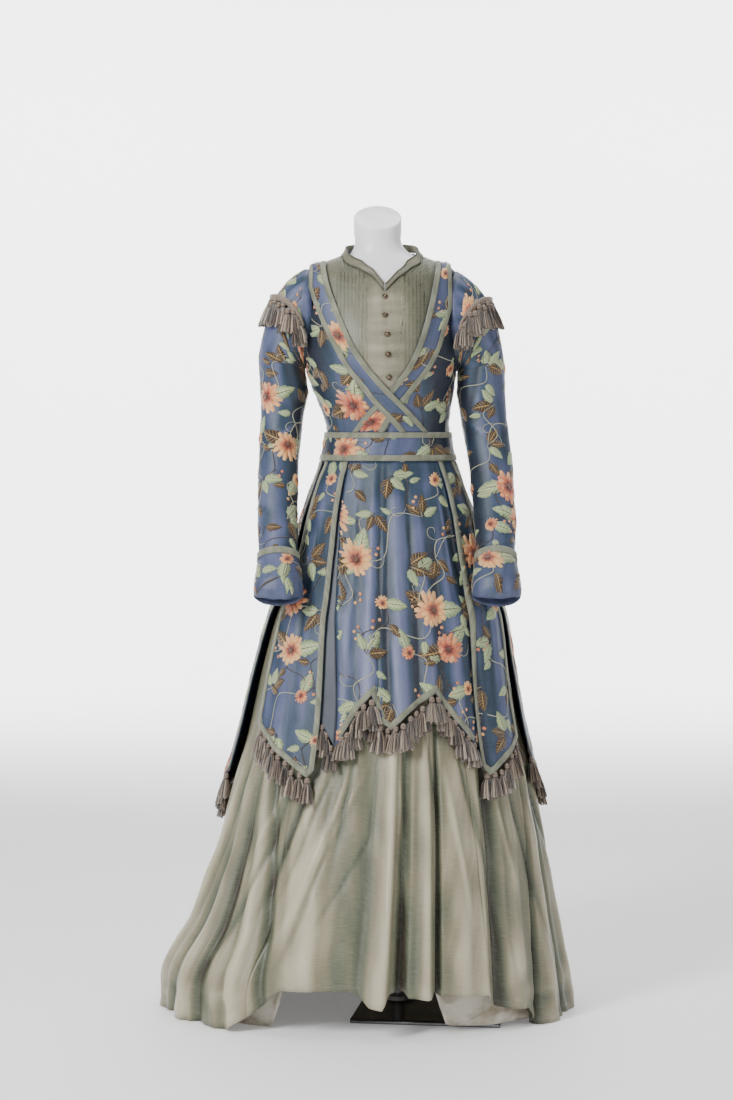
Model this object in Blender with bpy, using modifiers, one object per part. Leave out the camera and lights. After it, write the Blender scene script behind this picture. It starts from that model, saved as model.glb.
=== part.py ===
import math
from collections import namedtuple

import bmesh
import bpy
from mathutils import Vector

# driving dimensions in metres
CLOTH = 0.0012          # wall of every silk, taffeta and cotton piece
RIBBON = 0.0010         # wall of the ribbon trims
SEAM = 0.00035          # gap between neighbours at a seam
LAYER = 0.0005          # gap between a piece and what lies on it
FORM_ROOM = 0.0023      # room between the form and the bodice
WRAP_LAYER = 0.0014     # the wraps run aslant over the facets of the front
BELT_LAYER = 0.0010     # looser gap under the belt, whose facets are long
WAIST_LOW = 1.0455      # lower edge of the belt
WAIST_TOP = 1.100       # upper edge of the belt
SHOULDER_X = -0.015     # the figure's middle at shoulder height
OVER_LIFT = 0.016       # overskirt outside the underskirt
SIDE_LIFT = 0.0036      # side panels outside the other overskirt panels
FORM_SIDE = 0.127       # half width of the form between its flat armhole plates
PLATE_WIDTH = 0.28
PLATE_DEPTH = 0.40
PLATE_HEIGHT = 0.008
PLATE_TURN = math.radians(-8)
PLATE_X = 0.094
ROD_X = 0.020
ROD_Y = 0.010
ROD_RADIUS = 0.0125
FORM_FOOT = 0.86        # height of the form's lower end
NECK_RADIUS = 0.046
NECK_X = -0.020
NECK_FRONT_TOP = 1.490
NECK_BACK_TOP = 1.540
TRIM_WIDTH = 0.0105
BINDING_WIDTH = 0.0125
HEM_INSET = 0.030       # share of a panel's height that its hem binding covers
FRONT_BINDING_END = -53.0
SLOPE_GAIN = 1.2        # level lift over true lift on the sloping skirt
BRAID_HEIGHT = 0.007
BRAID = 0.0005          # half the thickness of the braid that carries a fringe
TASSEL_LENGTH = 0.050
TASSEL_HALF_DEPTH = 0.0034
TASSEL_RINGS = [(0.009, 0.0052, 0.0034), (0.017, 0.0036, 0.0024),
                (TASSEL_LENGTH, 0.0060, TASSEL_HALF_DEPTH)]
FRONT_TASSEL_STEP = 0.0160
TASSEL_STEP = 0.0300    # spacing of the tassels along the back hems
PETTICOAT_INSET = 0.021
UNDER_HEM = 0.086       # height of the underskirt's front hem above the floor
FLOOR_ROOM = 0.001      # what trails on the floor stays this much above it
BUTTON_RADIUS = 0.0055

# rings of the bodice's outer surface, height by height
TorsoRing = namedtuple("TorsoRing", "height half_width front back shift")
TORSO_RINGS = [
    TorsoRing(0.860, 0.165, 0.110, 0.125, 0.000),
    TorsoRing(0.940, 0.160, 0.115, 0.130, 0.000),
    TorsoRing(1.000, 0.140, 0.110, 0.123, 0.000),
    TorsoRing(1.0455, 0.1293, 0.1063, 0.1163, 0.000),
    TorsoRing(1.100, 0.1190, 0.100, 0.106, 0.000),
    TorsoRing(1.125, 0.1210, 0.103, 0.106, -0.0025),
    TorsoRing(1.162, 0.1305, 0.112, 0.109, -0.0065),
    TorsoRing(1.200, 0.1405, 0.123, 0.113, -0.011),
    TorsoRing(1.250, 0.1500, 0.129, 0.118, -0.014),
    TorsoRing(1.300, 0.1520, 0.121, 0.120, -0.015),
    TorsoRing(1.350, 0.1520, 0.101, 0.115, -0.015),
    TorsoRing(1.395, 0.1500, 0.079, 0.098, -0.0145),
    TorsoRing(1.415, 0.1390, 0.066, 0.085, -0.014),
    TorsoRing(1.430, 0.1050, 0.058, 0.073, -0.013),
    TorsoRing(1.4415, 0.0740, 0.052, 0.062, -0.013),
    TorsoRing(1.452, 0.0580, 0.049, 0.054, -0.016),
    TorsoRing(1.466, 0.0500, 0.0485, 0.0505, -0.019),
    TorsoRing(1.480, 0.0475, 0.0475, 0.0475, -0.020),
]

# rings of the underskirt's outer surface, height by height
SkirtRing = namedtuple("SkirtRing", "height left right front back")
SKIRT_RINGS = [
    SkirtRing(0.000, 0.429, 0.351, 0.320, 0.570),
    SkirtRing(0.086, 0.423, 0.336, 0.308, 0.520),
    SkirtRing(0.173, 0.373, 0.320, 0.292, 0.475),
    SkirtRing(0.268, 0.338, 0.304, 0.275, 0.435),
    SkirtRing(0.332, 0.318, 0.293, 0.265, 0.410),
    SkirtRing(0.426, 0.297, 0.273, 0.247, 0.373),
    SkirtRing(0.538, 0.266, 0.247, 0.225, 0.322),
    SkirtRing(0.662, 0.238, 0.226, 0.200, 0.267),
    SkirtRing(0.749, 0.214, 0.212, 0.179, 0.229),
    SkirtRing(0.790, 0.196, 0.197, 0.169, 0.210),
    SkirtRing(0.876, 0.167, 0.169, 0.147, 0.177),
    SkirtRing(0.947, 0.148, 0.149, 0.127, 0.147),
    SkirtRing(1.045, 0.115, 0.115, 0.092, 0.102),
]

# folds of the underskirt: angle at the hem and at the top, half width, depth at the hem
Fold = namedtuple("Fold", "low_angle top_angle half_width depth top")
UNDER_FOLDS = [
    Fold(-176, -165, 9, 0.016, 0.70),
    Fold(-162, -154, 7, -0.014, 0.60),
    Fold(-149, -143, 7, 0.016, 0.75),
    Fold(-135, -131, 6, -0.016, 0.80),
    Fold(-124, -121, 6, 0.008, 0.70),
    Fold(-106, -100, 6, -0.015, 0.70),
    Fold(-96, -94, 5, 0.012, 0.80),
    Fold(-89, -89, 4, -0.010, 0.70),
    Fold(-80, -82, 7, 0.014, 0.80),
    Fold(-72, -75, 4, -0.018, 0.80),
    Fold(-64, -66, 7, 0.010, 0.85),
    Fold(-52, -54, 5, -0.014, 0.80),
    Fold(-44, -45, 6, 0.014, 0.85),
    Fold(-33, -35, 5, -0.014, 0.80),
    Fold(-20, -24, 9, 0.015, 0.85),
    Fold(-4, -8, 7, -0.012, 0.80),
]
BACK_FOLD_STEP = 17     # degrees between the even folds of the train
BACK_FOLD_DEPTH = 0.014

# overskirt panels: edge angles at the belt and lower down, layer, hem outline
Panel = namedtuple("Panel", "name left_top left_low right_top right_low lift bound hem")
HemPoint = namedtuple("HemPoint", "angle height")
PANELS = [
    Panel("front", -125.5, -110.5, -43.4, -46.0, 0.0, "hem", [
        HemPoint(-110.5, 0.5215), HemPoint(-101.5, 0.593), HemPoint(-96.3, 0.617),
        HemPoint(-93.0, 0.566), HemPoint(-89.0, 0.553), HemPoint(-81.8, 0.584),
        HemPoint(-69.7, 0.620), HemPoint(-62.0, 0.571), HemPoint(-54.0, 0.528),
        HemPoint(-46.0, 0.510)]),
    Panel("pleat_left", -131.0, -124.5, -125.9, -111.0, -SIDE_LIFT, "none", [
        HemPoint(-124.5, 0.600), HemPoint(-120.5, 0.580), HemPoint(-111.0, 0.5215)]),
    Panel("side_left", -156.0, -151.0, -126.2, -117.5, SIDE_LIFT, "all", [
        HemPoint(-151.0, 0.552), HemPoint(-136.0, 0.508), HemPoint(-120.0, 0.464),
        HemPoint(-117.5, 0.478)]),
    Panel("side_right", -43.0, -50.5, -18.0, -24.5, SIDE_LIFT, "all", [
        HemPoint(-50.5, 0.482), HemPoint(-47.5, 0.464), HemPoint(-36.0, 0.495),
        HemPoint(-24.5, 0.526)]),
    Panel("back_right", -17.6, -22.0, 44.8, 44.8, 0.0, "all", [
        HemPoint(-22.0, 0.520), HemPoint(-4.0, 0.470), HemPoint(8.0, 0.425),
        HemPoint(18.0, 0.470), HemPoint(28.0, 0.420), HemPoint(44.8, 0.480)]),
    Panel("back_center", 45.2, 45.2, 134.8, 134.8, 0.0, "all", [
        HemPoint(45.2, 0.480), HemPoint(60.0, 0.410), HemPoint(76.0, 0.480),
        HemPoint(90.0, 0.395), HemPoint(104.0, 0.480), HemPoint(120.0, 0.410),
        HemPoint(134.8, 0.480)]),
    Panel("back_left", 135.2, 135.2, 203.6, 206.0, 0.0, "all", [
        HemPoint(135.2, 0.480), HemPoint(152.0, 0.410), HemPoint(162.0, 0.455),
        HemPoint(172.0, 0.400), HemPoint(186.0, 0.450), HemPoint(206.0, 0.500)]),
]
LOW_LEVEL = 0.55        # height at which a panel's lower edge angles hold
OVER_FOLDS = [
    Fold(-95, -100, 9, 0.006, 1.0),
    Fold(-84, -84, 8, 0.007, 1.0),
    Fold(-70, -71, 9, 0.006, 1.0),
]

# x of the wrap bands' edges on the front, height by height
WrapEdge = namedtuple("WrapEdge", "height left_outer left_inner right_inner right_outer")
WRAP_EDGES = [
    WrapEdge(1.100, 0.0215, 0.0737, -0.0665, -0.0084),
    WrapEdge(1.130, -0.0045, 0.0492, -0.0465, 0.0085),
    WrapEdge(1.160, -0.0308, 0.0215, -0.0195, 0.0315),
    WrapEdge(1.190, -0.0550, -0.0070, 0.0085, 0.0545),
    WrapEdge(1.220, -0.0785, -0.0335, 0.0320, 0.0765),
    WrapEdge(1.260, -0.1014, -0.0617, 0.0520, 0.0964),
    WrapEdge(1.300, -0.1208, -0.0808, 0.0655, 0.1074),
    WrapEdge(1.340, -0.1367, -0.0972, 0.0755, 0.1185),
    WrapEdge(1.380, -0.1488, -0.1107, 0.0836, 0.1256),
    WrapEdge(1.410, -0.1564, -0.1178, 0.0890, 0.1270),
]
HIDDEN_SEAM = 0.007     # turn that keeps the pieces apart under the middle of a wrap
WRAP_REACH = 0.1325     # how far from the middle a wrap may reach at the shoulder
CROSSING = Vector((0.0, 1.153))
CROSSING_REACH = 0.037
CROSSING_FADE = 0.016
CROSSING_LIFT = 0.0034
SHOULDER_ROOM = 0.0018

# neckline of the bodice, right round the neck
NeckPoint = namedtuple("NeckPoint", "angle height")
NECKLINE = [
    NeckPoint(-270.0, 1.4500), NeckPoint(-215.0, 1.4460), NeckPoint(-180.0, 1.4405),
    NeckPoint(-140.0, 1.4315), NeckPoint(-107.5, 1.4135), NeckPoint(-96.0, 1.3980),
    NeckPoint(-87.0, 1.3680), NeckPoint(-78.0, 1.3930), NeckPoint(-66.0, 1.4080),
    NeckPoint(-40.0, 1.4270), NeckPoint(0.0, 1.4405), NeckPoint(35.0, 1.4460),
    NeckPoint(90.0, 1.4500),
]
COLLAR_RISE = 0.0115
BUTTON_HEIGHTS = [1.357, 1.321, 1.285, 1.247, 1.204]
BUTTON_XS = [-0.0065, -0.0065, -0.0025, -0.001, 0.001]

# sleeve caps swing about the armpit: degrees from upright, reach from the armpit
CapRing = namedtuple("CapRing", "turn reach half_depth")
CAP_RINGS = [
    CapRing(0, 0.193, 0.0560), CapRing(9, 0.176, 0.0565), CapRing(19, 0.156, 0.0565),
    CapRing(30, 0.136, 0.0560), CapRing(45, 0.112, 0.0545), CapRing(62, 0.098, 0.0525),
    CapRing(80, 0.091, 0.0510),
]
# the rest of each sleeve: height, centre, radius across and radius front to back
ArmRing = namedtuple("ArmRing", "height x y radius depth tilt")
LEFT_ARM = [
    ArmRing(1.180, -0.1985, 0.000, 0.0470, 0.0490, 0),
    ArmRing(1.140, -0.2035, -0.002, 0.0425, 0.0460, 4),
    ArmRing(1.098, -0.2070, -0.008, 0.0408, 0.0450, 12),
    ArmRing(1.055, -0.2095, -0.021, 0.0392, 0.0430, 20),
    ArmRing(1.005, -0.2105, -0.041, 0.0385, 0.0410, 24),
    ArmRing(0.950, -0.2105, -0.068, 0.0385, 0.0395, 27),
    ArmRing(0.900, -0.2090, -0.096, 0.0375, 0.0380, 28),
    ArmRing(0.850, -0.2070, -0.125, 0.0365, 0.0365, 29),
    ArmRing(0.808, -0.2065, -0.151, 0.0360, 0.0360, 29),
]
RIGHT_ARM = [
    ArmRing(1.180, 0.1790, 0.000, 0.0470, 0.0490, 0),
    ArmRing(1.140, 0.1830, -0.002, 0.0450, 0.0470, 4),
    ArmRing(1.098, 0.1890, -0.008, 0.0440, 0.0460, 12),
    ArmRing(1.055, 0.1945, -0.021, 0.0425, 0.0440, 20),
    ArmRing(1.005, 0.1990, -0.041, 0.0412, 0.0420, 24),
    ArmRing(0.950, 0.2015, -0.070, 0.0400, 0.0405, 28),
    ArmRing(0.900, 0.2020, -0.100, 0.0380, 0.0385, 30),
    ArmRing(0.850, 0.2015, -0.131, 0.0365, 0.0370, 31),
    ArmRing(0.808, 0.2010, -0.158, 0.0360, 0.0360, 31),
]
# start is how far a sleeve reaches inside its armhole
Arm = namedtuple("Arm", "name side pivot_x pivot_z start rings")
ARMS = [
    Arm("left", -1, -0.160, 1.222, 0.009, LEFT_ARM),
    Arm("right", 1, 0.134, 1.217, 0.014, RIGHT_ARM),
]
ARM_TOP = 1.180         # height of the first arm ring below the cap
ARM_LOW = 0.808         # height of the sleeve's lower end
CUFF_TOP = 0.868
CUFF_MIDDLE = 0.838
CUFF_LOW = 0.803
CUFF_END = Vector((0, -0.0065, -0.0120))
CUFF_ROOM = 0.0008
CUFF_FLARE = 0.0085
SLEEVE_COLUMNS = 12
BACK_HEIGHTS = [1.046, 1.073, 1.10, 1.135, 1.17, 1.21, 1.26, 1.31, 1.36]
FRONT_HEIGHTS = [1.046, 1.073, 1.10, 1.125, 1.148, 1.170, 1.192, 1.216, 1.245, 1.28, 1.32,
                 1.355, 1.378, 1.394, 1.405]
ARMHOLE_TOP = 1.418
YOKE_REACH = 0.131      # half width that keeps the yoke off the armholes
YOKE_RIDGE = 0.15       # share of the yoke's top edge that runs along each shoulder
YOKE_ROWS = 10          # the yoke runs over the upper rows of the front
BELT_COLUMNS = 36
FORM_COLUMNS = 24
PETTICOAT_COLUMNS = 40
PANEL_STEP = 5.0        # degrees between the columns of an overskirt panel
PANEL_DROPS = [0.0, 0.18, 0.42, 0.64, 0.84, 1.0]


def clean_scene():
    for item in list(bpy.data.objects):
        bpy.data.objects.remove(item, do_unlink=True)
    for group in list(bpy.data.collections):
        bpy.data.collections.remove(group)


def new_collection(name):
    group = bpy.data.collections.new(name)
    bpy.context.scene.collection.children.link(group)
    return group


def make_material(name, color, roughness, metallic=0.0):
    material = bpy.data.materials.new(name)
    material.use_nodes = True
    shader = material.node_tree.nodes["Principled BSDF"]
    shader.inputs["Base Color"].default_value = (*color, 1.0)
    shader.inputs["Roughness"].default_value = roughness
    shader.inputs["Metallic"].default_value = metallic
    return material


def smooth_step(low, high, value):
    t = min(max((value - low) / (high - low), 0.0), 1.0)
    return t * t * (3 - 2 * t)


def blend(a, b, t):
    return a + (b - a) * t


def read_rows(rows, key):
    """Smooth values of every column of a table whose first column rises."""
    if key <= rows[0][0]:
        return rows[0]
    if key >= rows[-1][0]:
        return rows[-1]
    i = max(n for n in range(len(rows) - 1) if rows[n][0] <= key)
    before, low = rows[max(i - 1, 0)], rows[i]
    high, after = rows[i + 1], rows[min(i + 2, len(rows) - 1)]
    span = high[0] - low[0]
    t = (key - low[0]) / span
    values = [key]
    for a, b, c, d in zip(before[1:], low[1:], high[1:], after[1:]):
        rise_low = (c - a) / (high[0] - before[0]) * span
        rise_high = (d - b) / (after[0] - low[0]) * span
        values.append((2 * t ** 3 - 3 * t ** 2 + 1) * b + (t ** 3 - 2 * t ** 2 + t) * rise_low
                      + (3 * t ** 2 - 2 * t ** 3) * c + (t ** 3 - t ** 2) * rise_high)
    return type(low)(*values)


def read_line(points, key):
    """Straight-line height of an outline of (angle, height) points."""
    for a, b in zip(points, points[1:]):
        if key <= b[0]:
            t = min(max((key - a[0]) / (b[0] - a[0]), 0.0), 1.0)
            return blend(a[1], b[1], t)
    return points[-1][1]


def even(first, last, count):
    return [blend(first, last, n / (count - 1)) for n in range(count)]


def cloth(name, group, grid, material, wall=CLOTH, closed=False):
    """An open sheet of points, row by row, thickened inwards into a wall."""
    width = len(grid[0])
    faces = []
    for r in range(len(grid) - 1):
        for c in range(width if closed else width - 1):
            n = (c + 1) % width
            faces.append((r * width + c, r * width + n, (r + 1) * width + n, (r + 1) * width + c))
    mesh = bpy.data.meshes.new(name)
    mesh.from_pydata([point for row in grid for point in row], [], faces)
    mesh.shade_smooth()
    mesh.materials.append(material)
    item = bpy.data.objects.new(name, mesh)
    group.objects.link(item)
    shell = item.modifiers.new("wall", "SOLIDIFY")
    shell.thickness = wall
    shell.offset = -1.0
    return item


def torso_base(angle, height):
    ring = read_rows(TORSO_RINGS, height)
    depth = ring.back if math.sin(angle) > 0 else ring.front
    return Vector((ring.shift + ring.half_width * math.cos(angle), depth * math.sin(angle), height))


def torso_point(angle, height, lift=0.0):
    """A point of the bodice's surface, moved out by lift."""
    point = torso_base(angle, height)
    if lift == 0.0:
        return point
    step = 0.002
    around = torso_base(angle + 0.02, height) - torso_base(angle - 0.02, height)
    upward = torso_base(angle, height + step) - torso_base(angle, height - step)
    return point + around.cross(upward).normalized() * lift


def front_angle(x, height):
    ring = read_rows(TORSO_RINGS, height)
    cosine = (x - ring.shift) / ring.half_width
    return -math.acos(min(max(cosine, -0.9998), 0.9998))


def wrap_x(height, edge):
    """x of a wrap's edge, held clear of the armhole at the shoulder."""
    x = getattr(read_rows(WRAP_EDGES, height), edge)
    return min(max(x, SHOULDER_X - WRAP_REACH), SHOULDER_X + WRAP_REACH)


def wrap_angle(height, edge):
    return front_angle(wrap_x(height, edge), height)


def seam_angle(height, side):
    """The hidden seam between side front and yoke, under the middle of a wrap."""
    outer = wrap_angle(height, side + "_outer")
    inner = wrap_angle(height, side + "_inner")
    middle = blend(outer, inner, 0.5)
    if side == "left":
        return min(middle, -math.pi / 2)
    return max(middle, -math.pi / 2)


def seam_turn(height):
    """The turn that opens a seam gap at the sides of the bodice."""
    return SEAM / read_rows(TORSO_RINGS, height).front / 2


def skirt_fold(angle, height):
    """How far the underskirt's surface stands out of its plain ring."""
    degrees = math.degrees(angle)
    total = 0.0
    for fold in UNDER_FOLDS:
        center = blend(fold.low_angle, fold.top_angle, height / fold.top)
        for turn in (-360, 0, 360):
            away = abs(degrees - center + turn) / fold.half_width
            if away < 1 and height < fold.top:
                rise = (1 - height / fold.top) ** 1.3
                total += fold.depth * rise * (0.5 + 0.5 * math.cos(math.pi * away))
    back = smooth_step(8, 30, degrees % 360) * (1 - smooth_step(150, 174, degrees % 360))
    if back > 0 and height < 0.95:
        wave = math.cos(math.radians(degrees * 360 / BACK_FOLD_STEP) + 1.2 * math.sin(degrees / 23))
        total += back * BACK_FOLD_DEPTH * (1 - height / 0.95) ** 1.6 * wave
    return total


def skirt_ring(angle, height, lift=0.0):
    """A point of the underskirt's plain ring, without folds, moved out level."""
    ring = read_rows(SKIRT_RINGS, height)
    cosine, sine = math.cos(angle), math.sin(angle)
    half = ring.right if cosine > 0 else ring.left
    depth = ring.back if sine > 0 else ring.front
    outward = Vector((cosine / half, sine / depth, 0)).normalized()
    return Vector((half * cosine, depth * sine, height)) + outward * lift


def skirt_point(angle, height):
    return skirt_ring(angle, height, skirt_fold(angle, height))


def under_hem(degrees):
    """Height of the underskirt's hem: raised in front, on the floor elsewhere."""
    turn = (degrees + 180) % 360 - 180
    raised = smooth_step(-138, -122, turn) * (1 - smooth_step(-66, -33, turn))
    return max(UNDER_HEM * raised, FLOOR_ROOM)


def over_fold(angle, height):
    degrees = math.degrees(angle)
    total = 0.0
    for fold in OVER_FOLDS:
        center = blend(fold.low_angle, fold.top_angle, (height - 0.5) / 0.55)
        away = abs(degrees - center) / fold.half_width
        if away < 1:
            rise = smooth_step(1.0, 0.7, height)
            total += fold.depth * rise * (0.5 + 0.5 * math.cos(math.pi * away))
    return total


def panel_lift(panel, height):
    """Side panels part from the rest below the belt; the pleat lies inside all the way."""
    part = smooth_step(WAIST_LOW, WAIST_LOW - 0.04, height) if panel.lift > 0 else 1.0
    return OVER_LIFT + panel.lift * part


def panel_edges(panel, height):
    t = smooth_step(WAIST_LOW, LOW_LEVEL, height)
    return blend(panel.left_top, panel.left_low, t), blend(panel.right_top, panel.right_low, t)


def panel_point(panel, share, drop):
    """A point of an overskirt panel from its share across and its share down."""
    low = blend(panel.left_low, panel.right_low, share)
    hem = read_line(panel.hem, low)
    height = blend(WAIST_LOW - SEAM, hem, drop)
    left, right = panel_edges(panel, height)
    angle = math.radians(blend(left, right, share))
    return skirt_ring(angle, height, panel_lift(panel, height) + over_fold(angle, height))


def panel_shares(panel):
    """Columns of a panel: every hem corner and even steps between."""
    span = panel.right_low - panel.left_low
    shares = []
    for a, b in zip(panel.hem, panel.hem[1:]):
        count = max(1, round((b.angle - a.angle) / PANEL_STEP))
        for n in range(count):
            shares.append((blend(a.angle, b.angle, n / count) - panel.left_low) / span)
    return shares + [1.0]


def panel_grid(panel):
    shares = panel_shares(panel)
    return shares, [[panel_point(panel, share, drop) for share in shares] for drop in PANEL_DROPS]


def place_in(values, value):
    """Cell and share within it of a value in a rising list."""
    i = max(n for n in range(len(values) - 1) if values[n] <= value)
    return i, (value - values[i]) / (values[i + 1] - values[i])


def on_panel(shares, grid, share, drop, lift):
    """A point on the flat faces of a panel, moved out level."""
    c, across = place_in(shares, share)
    r, down = place_in(PANEL_DROPS, drop)
    upper = grid[r][c].lerp(grid[r][c + 1], across)
    lower = grid[r + 1][c].lerp(grid[r + 1][c + 1], across)
    side = grid[r][c + 1] - grid[r][c]
    out = side.cross(Vector((0, 0, 1))).normalized()
    return upper.lerp(lower, down) + out * lift


def make_panel(panel, group, silk):
    grid = panel_grid(panel)[1]
    cloth("overskirt_" + panel.name, group, list(reversed(grid)), silk)


def binding_pairs(panel, shares, grid):
    """Outer and inner edge of a binding as (share, drop) pairs: side, hem, side."""
    wide = [BINDING_WIDTH / ((row[-1] - row[0]).length * 1.03) for row in grid]
    last = shares[-1] - 0.004
    if panel.bound == "hem":
        last = (FRONT_BINDING_END - panel.left_low) / (panel.right_low - panel.left_low)
    sides = list(zip(PANEL_DROPS[:-1], wide[:-1])) if panel.bound == "all" else []
    pairs = [((0.004, drop), (width, drop)) for drop, width in sides]
    low = wide[-1] if sides else 0.004
    high = 1 - low if sides else last
    for share in [held for held in shares if held < last] + [last]:
        outer = (max(share, 0.004), 0.998)
        pairs.append((outer, (min(max(share, low), high), 1 - HEM_INSET)))
    pairs += [((0.996, drop), (1 - width, drop)) for drop, width in reversed(sides)]
    return pairs


def make_binding(panel, group, ribbon):
    shares, grid = panel_grid(panel)
    lift = (LAYER + RIBBON) * SLOPE_GAIN
    pairs = binding_pairs(panel, shares, grid)
    edges = []
    for n in (0, 1):
        edges.append([on_panel(shares, grid, *pair[n], lift) for pair in pairs])
    cloth("overskirt_" + panel.name + "_binding", group, edges, ribbon, RIBBON)


def tassel_row(name, group, braid, roots, wool):
    """A strip of braid with four-sided tassels grown out of its lower edge.

    Each root holds the strip's left and right point, the way out, the tassel's
    rings as (way from the root, half width, half depth), and the strip's rise.
    """
    points, faces = [], []

    def add_ring(ring):
        first = len(points)
        points.extend(ring)
        return [first + n for n in range(4)]

    def join_rings(upper, lower, skip=None):
        for n in range(4):
            m = (n + 1) % 4
            if n != skip:
                faces.append((upper[m], upper[n], lower[n], lower[m]))

    end = None
    for left, right, out, hang, rise in roots:
        depth = out * braid
        for place in (left, right):
            section = add_ring([place + rise + depth, place + rise - depth,
                                place - depth, place + depth])
            if end is None:
                faces.append(tuple(section))
            else:
                join_rings(end, section, skip=2 if place is right else None)
            start, end = end, section
        ring = [section[2], section[3], start[3], start[2]]
        middle = (left + right) / 2
        side = (right - left).normalized()
        for way, half, deep in hang:
            center = middle + way
            corners = [center + side * half - out * deep, center + side * half + out * deep,
                       center - side * half + out * deep, center - side * half - out * deep]
            lower_ring = add_ring(corners)
            join_rings(lower_ring, ring)
            ring = lower_ring
        faces.append((ring[3], ring[2], ring[1], ring[0]))
    faces.append(tuple(reversed(end)))
    mesh = bpy.data.meshes.new(name)
    mesh.from_pydata(points, [], faces)
    body = bmesh.new()
    body.from_mesh(mesh)
    bmesh.ops.recalc_face_normals(body, faces=body.faces)
    body.to_mesh(mesh)
    body.free()
    mesh.materials.append(wool)
    item = bpy.data.objects.new(name, mesh)
    group.objects.link(item)


def fringe_span(panel):
    """The stretch of a hem, in degrees, that carries tassels."""
    spans = {"front": (-109.0, -55.0), "pleat_left": (-120.5, -113.2)}
    return spans.get(panel.name, (panel.left_low + 1.0, panel.right_low - 1.0))


def make_fringe(panel, group, wool):
    shares, grid = panel_grid(panel)
    span = panel.right_low - panel.left_low
    width = sum((b - a).length for a, b in zip(grid[-1], grid[-1][1:]))
    level = sum(math.hypot(b.x - a.x, b.y - a.y) for a, b in zip(grid[-1], grid[-1][1:]))
    step = TASSEL_STEP if panel.name.startswith("back") else FRONT_TASSEL_STEP
    turn = step / level * span * min(1.0, width / level)
    first, last = fringe_span(panel)
    count = int((last - first) / turn)
    roots = []
    for n in range(count):
        low = first + (last - first) * n / count
        high = first + (last - first) * (n + 0.93) / count
        roots.append(tassel_root(panel, shares, grid, low, high))
    tassel_row("overskirt_" + panel.name + "_fringe", group, BRAID, roots, wool)


def tassel_root(panel, shares, grid, first, last):
    """Places of one tassel of a hem: behind the panel, hanging clear of the underskirt."""
    back = -(CLOTH + LAYER) * SLOPE_GAIN - BRAID
    span = panel.right_low - panel.left_low
    left, right = [on_panel(shares, grid, (degrees - panel.left_low) / span, 0.999, back)
                   for degrees in (first, last)]
    middle = (left + right) / 2
    side = Vector((right.x - left.x, right.y - left.y, 0)).normalized()
    out = side.cross(Vector((0, 0, 1))).normalized()
    hang = []
    for drop, half, deep in TASSEL_RINGS:
        slope = skirt_ring(math.radians((first + last) / 2), middle.z - drop)
        slope -= skirt_ring(math.radians((first + last) / 2), middle.z)
        inward = slope.dot(out) - TASSEL_HALF_DEPTH + BRAID
        hang.append((out * inward + Vector((0, 0, -drop)), half, deep))
    share = ((first + last) / 2 - panel.left_low) / span
    rise = on_panel(shares, grid, share, 0.9, 0) - on_panel(shares, grid, share, 0.999, 0)
    return left, right, out, hang, rise.normalized() * BRAID_HEIGHT


def make_overskirt(group, materials):
    for panel in PANELS:
        make_panel(panel, group, materials["blue silk"])
        if panel.bound != "none":
            make_binding(panel, group, materials["ribbon"])
        make_fringe(panel, group, materials["tassel"])


def make_underskirt(group, taffeta):
    gores = {
        "underskirt_front": (-127.6, -57.2, 24),
        "underskirt_side_right": (-57.0, -0.1, 13),
        "underskirt_back_right": (0.1, 89.9, 16),
        "underskirt_back_left": (90.1, 179.9, 16),
        "underskirt_side_left": (-179.9, -127.8, 13),
    }
    drops = [0.0, 0.14, 0.30, 0.46, 0.63, 0.80, 1.0]
    top = 1.044
    for name, (first, last, count) in gores.items():
        angles = even(first, last, count)
        grid = []
        for drop in drops:
            row = []
            for degrees in angles:
                hem = under_hem(degrees)
                height = blend(hem, top - 0.012, drop)
                row.append(skirt_point(math.radians(degrees), height))
            grid.append(row)
        cloth(name, group, grid, taffeta)


def petticoat_point(degrees, share):
    """The petticoat hangs inside the underskirt and drops to its own floor line."""
    angle = math.radians(degrees)
    turn = (degrees + 180) % 360 - 180
    raised = smooth_step(-128, -118, turn) * (1 - smooth_step(-76, -66, turn))
    on_plate = smooth_step(-127, -122, turn) * (1 - smooth_step(-34, -28, turn))
    low = max(0.115 * raised, (PLATE_HEIGHT + SEAM) * on_plate, FLOOR_ROOM)
    height = blend(0.30, low, share)
    cosine, sine = math.cos(angle), math.sin(angle)
    half = 0.325 if cosine > 0 else 0.360
    depth = 0.500 if sine > 0 else 0.215
    squared = 0.72 if sine < 0 else 1.0
    spread = abs(cosine) ** squared * (1 if cosine > 0 else -1)
    away = abs(sine) ** squared * (1 if sine > 0 else -1)
    own = Vector((half * spread, depth * away, 0)).length
    point = skirt_ring(angle, height, -PETTICOAT_INSET)
    reach = min(1.0, own / Vector((point.x, point.y, 0)).length)
    pull = blend(1.0, reach, smooth_step(0.0, 0.85, share))
    pull *= 1 - 0.012 * share * (1 + math.cos(angle * 17))
    return Vector((point.x * pull, point.y * pull, height))


def make_petticoat(group, cotton):
    angles = [n * 360 / PETTICOAT_COLUMNS for n in range(PETTICOAT_COLUMNS)]
    grid = []
    for share in (1.0, 0.66, 0.33, 0.0):
        grid.append([petticoat_point(degrees, share) for degrees in angles])
    cloth("petticoat", group, grid, cotton, closed=True)


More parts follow.
